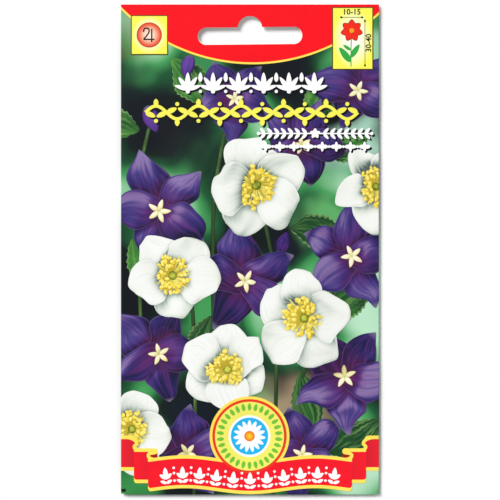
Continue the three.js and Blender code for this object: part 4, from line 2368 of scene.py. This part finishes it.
@dataclass
class Roundel:
    """The round badge that stands on the ribbon, with a daisy on it. Sizes in millimetres."""

    press: Press
    centre: Point = (-0.15, -57.0)
    leaves: int = 30
    leaf: Cut = (2.3, 1.15, 1.2)
    leaf_radius: float = 7.85
    petals: int = 15
    petal: Cut = (3.9, 1.35, 0.9)
    heart_radius: float = 1.6
    heart_stops: Stops = ((0.0, "#ffd93a"), (0.6, "#f8a51c"), (1.0, "#e8601c"))

    def build(self) -> None:
        """Prints the badge from the rim inwards."""
        rings = (
            ("rim", 12.2, Layer.GROUND, YELLOW),
            ("red", 11.35, Layer.FIELD, PlainInk("brick_red_ink", "#ea3a20")),
            ("field", 10.55, Layer.SIGN, PlainInk("pale_lemon_ink", "#f4ef6c")),
            ("white", 6.4, Layer.ACCENT, WHITE),
            ("sky", 5.7, Layer.TOP, SKY),
        )
        for name, radius, layer, ink in rings:
            self.press.print_flat(disc(f"printed_badge_{name}", self.centre, radius), layer, ink)
        leaves = self._round(leaf_blank("leaf", *self.leaf), self.leaves, self.leaf_radius)
        self.press.print_flat(joined("printed_badge_leaves", leaves), Layer.ACCENT, LEAF_GREEN)
        petals = self._round(raised(leaf_blank("petal", *self.petal)), self.petals, radius=1.0)
        daisy = joined("printed_badge_daisy", stacked(petals, step=0.01, levels=2))
        self.press.print_block(daisy, Layer.UPPER, WHITE)
        radius = self.heart_radius
        glow = GlowInk("daisy_heart_ink", self.centre, (radius, radius), self.heart_stops)
        heart = disc("printed_badge_heart", self.centre, radius, sides=32)
        self.press.print_flat(heart, Layer.HIGHEST, glow)

    def _round(self, master: Piece, count: int, radius: float) -> list[Piece]:
        """Sets copies of a shape in a ring about the badge's middle, pointing outwards."""
        turns = [plan(*self.centre, i * 360.0 / count) @ plan(0.0, radius) for i in range(count)]
        return laid([(master, turn) for turn in turns])


@dataclass
class EyeMark:
    """The small black mark that the packing machine's sensor follows, at the lower left corner."""

    press: Press
    low: Point = (-39.4, -74.0)
    high: Point = (-38.05, -73.15)

    def build(self) -> None:
        """Prints the mark."""
        mark = tile("printed_eye_mark", self.low, self.high)
        crease(mark, self.press.pouch)
        self.press.print_flat(mark, Layer.GROUND, SHADE)


@dataclass
class BackPrint:
    """The print on the plain back: a calendar of months as plain numbers, and ruled lines for notes.

    Sizes in millimetres. What is to the right here is to the left of the packet's front.
    """

    press: Press
    left: float = -25.0
    right: float = 27.0
    top: float = 30.0
    row: float = 5.0
    rows: int = 4
    months: int = 12
    number_height: float = 2.6
    number_drop: float = 2.4
    first_line: float = -8.0
    line_step: float = 6.0
    lines: int = 8
    line: float = 0.22
    bar_gap: float = 0.4
    bar_height: float = 2.6

    def build(self) -> None:
        """Prints the back."""
        cell, level = (self.right - self.left) / self.months, self.top - self.number_drop
        across = [self.left + cell * i for i in range(self.months + 1)]
        middles = [(self.left + cell * (i + 0.5), level) for i in range(self.months)]
        parts = [numeral(str(i), self.number_height, middle) for i, middle in enumerate(middles, 1)]
        low = self.top - self.rows * self.row
        parts += [straight((x, low), (x, self.top), self.line) for x in across]
        levels = [self.top - self.row * i for i in range(self.rows + 1)]
        levels += [self.first_line - self.line_step * i for i in range(self.lines)]
        parts += [straight((self.left, y), (self.right, y), self.line) for y in levels]
        self.press.print_back(joined("printed_back_rules", parts), PlainInk("grey_ink", "#4b4f55"))
        bars = (
            ("sowing", 1, 2, 5, GREEN),
            ("planting", 2, 4, 8, YELLOW),
            ("flowering", 3, 4, 7, PlainInk("violet_ink", "#5b3796")),
        )
        for name, row, start, end, ink in bars:
            y, half = self.top - self.row * (row + 0.5), self.bar_height / 2
            corners = (across[start] + self.bar_gap, y - half), (across[end] - self.bar_gap, y + half)
            self.press.print_back(raised(tile(f"printed_{name}_bar", *corners, columns=8)), ink)


# ---- The studio ---------------------------------------------------------------------------------------


@dataclass
class Studio:
    """The pale floor, the soft light and the camera. Sizes in metres, angles in degrees."""

    floor_size: float = 4.0
    floor_level: float = -0.00002
    sky_strength: float = 0.4
    sun_strength: float = 2.95
    sun_width: float = 26.0
    sun_turn: tuple[float, float, float] = (-31.0, -35.0, 0.0)
    lens: float = 120.0
    sensor: float = 36.0
    frame_height: float = 0.15293
    look_at: tuple[float, float, float] = (0.0, -0.0001, 0.0014)

    def build(self) -> None:
        """Sets the studio up round the packet."""
        bpy.context.scene.view_settings.view_transform = "Standard"
        self._floor()
        self._light()
        self._camera()

    def _floor(self) -> None:
        """Lays a pale floor."""
        bpy.ops.mesh.primitive_plane_add(size=self.floor_size, location=(0.0, 0.0, self.floor_level))
        floor = fresh("studio_floor")
        coat(floor, FloorPaint("pale_floor"))

    def _light(self) -> None:
        """Lights the packet softly, most from the upper left."""
        world = bpy.data.worlds.new("studio_light")
        bpy.context.scene.world = world
        world.use_nodes = True
        sky = world.node_tree.nodes["Background"]
        sky.inputs["Color"].default_value = (1.0, 1.0, 1.0, 1.0)
        sky.inputs["Strength"].default_value = self.sky_strength
        bpy.ops.object.light_add(type="SUN", rotation=[math.radians(angle) for angle in self.sun_turn])
        sun = bpy.context.active_object.data
        sun.energy, sun.angle = self.sun_strength, math.radians(self.sun_width)

    def _camera(self) -> None:
        """Sets the camera straight above, as far off as the packet's height needs."""
        bpy.ops.object.camera_add(rotation=(0.0, 0.0, 0.0))
        camera = bpy.context.active_object
        camera.data.lens, camera.data.sensor_width = self.lens, self.sensor
        x, y, z = self.look_at
        camera.location = (x, y, z + self.frame_height / self.sensor * self.lens)
        bpy.context.scene.camera = camera


# ---- Assembly -----------------------------------------------------------------------------------------


def main() -> None:
    """Builds the packet, piece by piece."""
    logging.basicConfig(level=logging.INFO, format="%(message)s")
    pouch, slot, backdrop = Pouch(), HangSlot(), BackdropInk()
    press = Press(pouch)

    front = FrontSheet(pouch, slot, backdrop)
    sheet = front.build()
    front.dress(sheet)
    press.hand_over(sheet, node="front_sheet")

    # The back sheet's slot is cut a little out of register with the front's.
    back = BackSheet(pouch, HangSlot(length=slot.length - 0.5, middle=slot.middle + 0.15))
    sheet = back.build()
    back.dress(sheet)
    press.hand_over(sheet, node="back_sheet")

    artwork = (
        FlowerPicture(press),
        HeaderFilm(press, slot, backdrop),
        HeaderTiles(press),
        Palmettes(press, "palmettes", left=-22.9, right=23.5, level=47.9, height=6.3, count=6),
        Scroll(press, "scroll", left=-32.0, right=33.0, level=41.95, height=7.6, count=5, ink=LEMON),
        Laurel(press, "laurel", left=2.6, right=37.2, level=35.5, height=3.3, count=7),
        Chain(press, "chain", left=2.6, right=37.2, level=31.5, height=3.3, count=8),
        Ribbon(press),
        Roundel(press),
        EyeMark(press),
        BackPrint(press),
    )
    for part in artwork:
        part.build()

    seeds = [node for name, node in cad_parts.items() if name.startswith("seed_")]
    for seed in seeds:
        coat(seed, SeedCoat())
    log.info("seeds: %d", len(seeds))

    Studio().build()


if __name__ == "__main__":
    main()
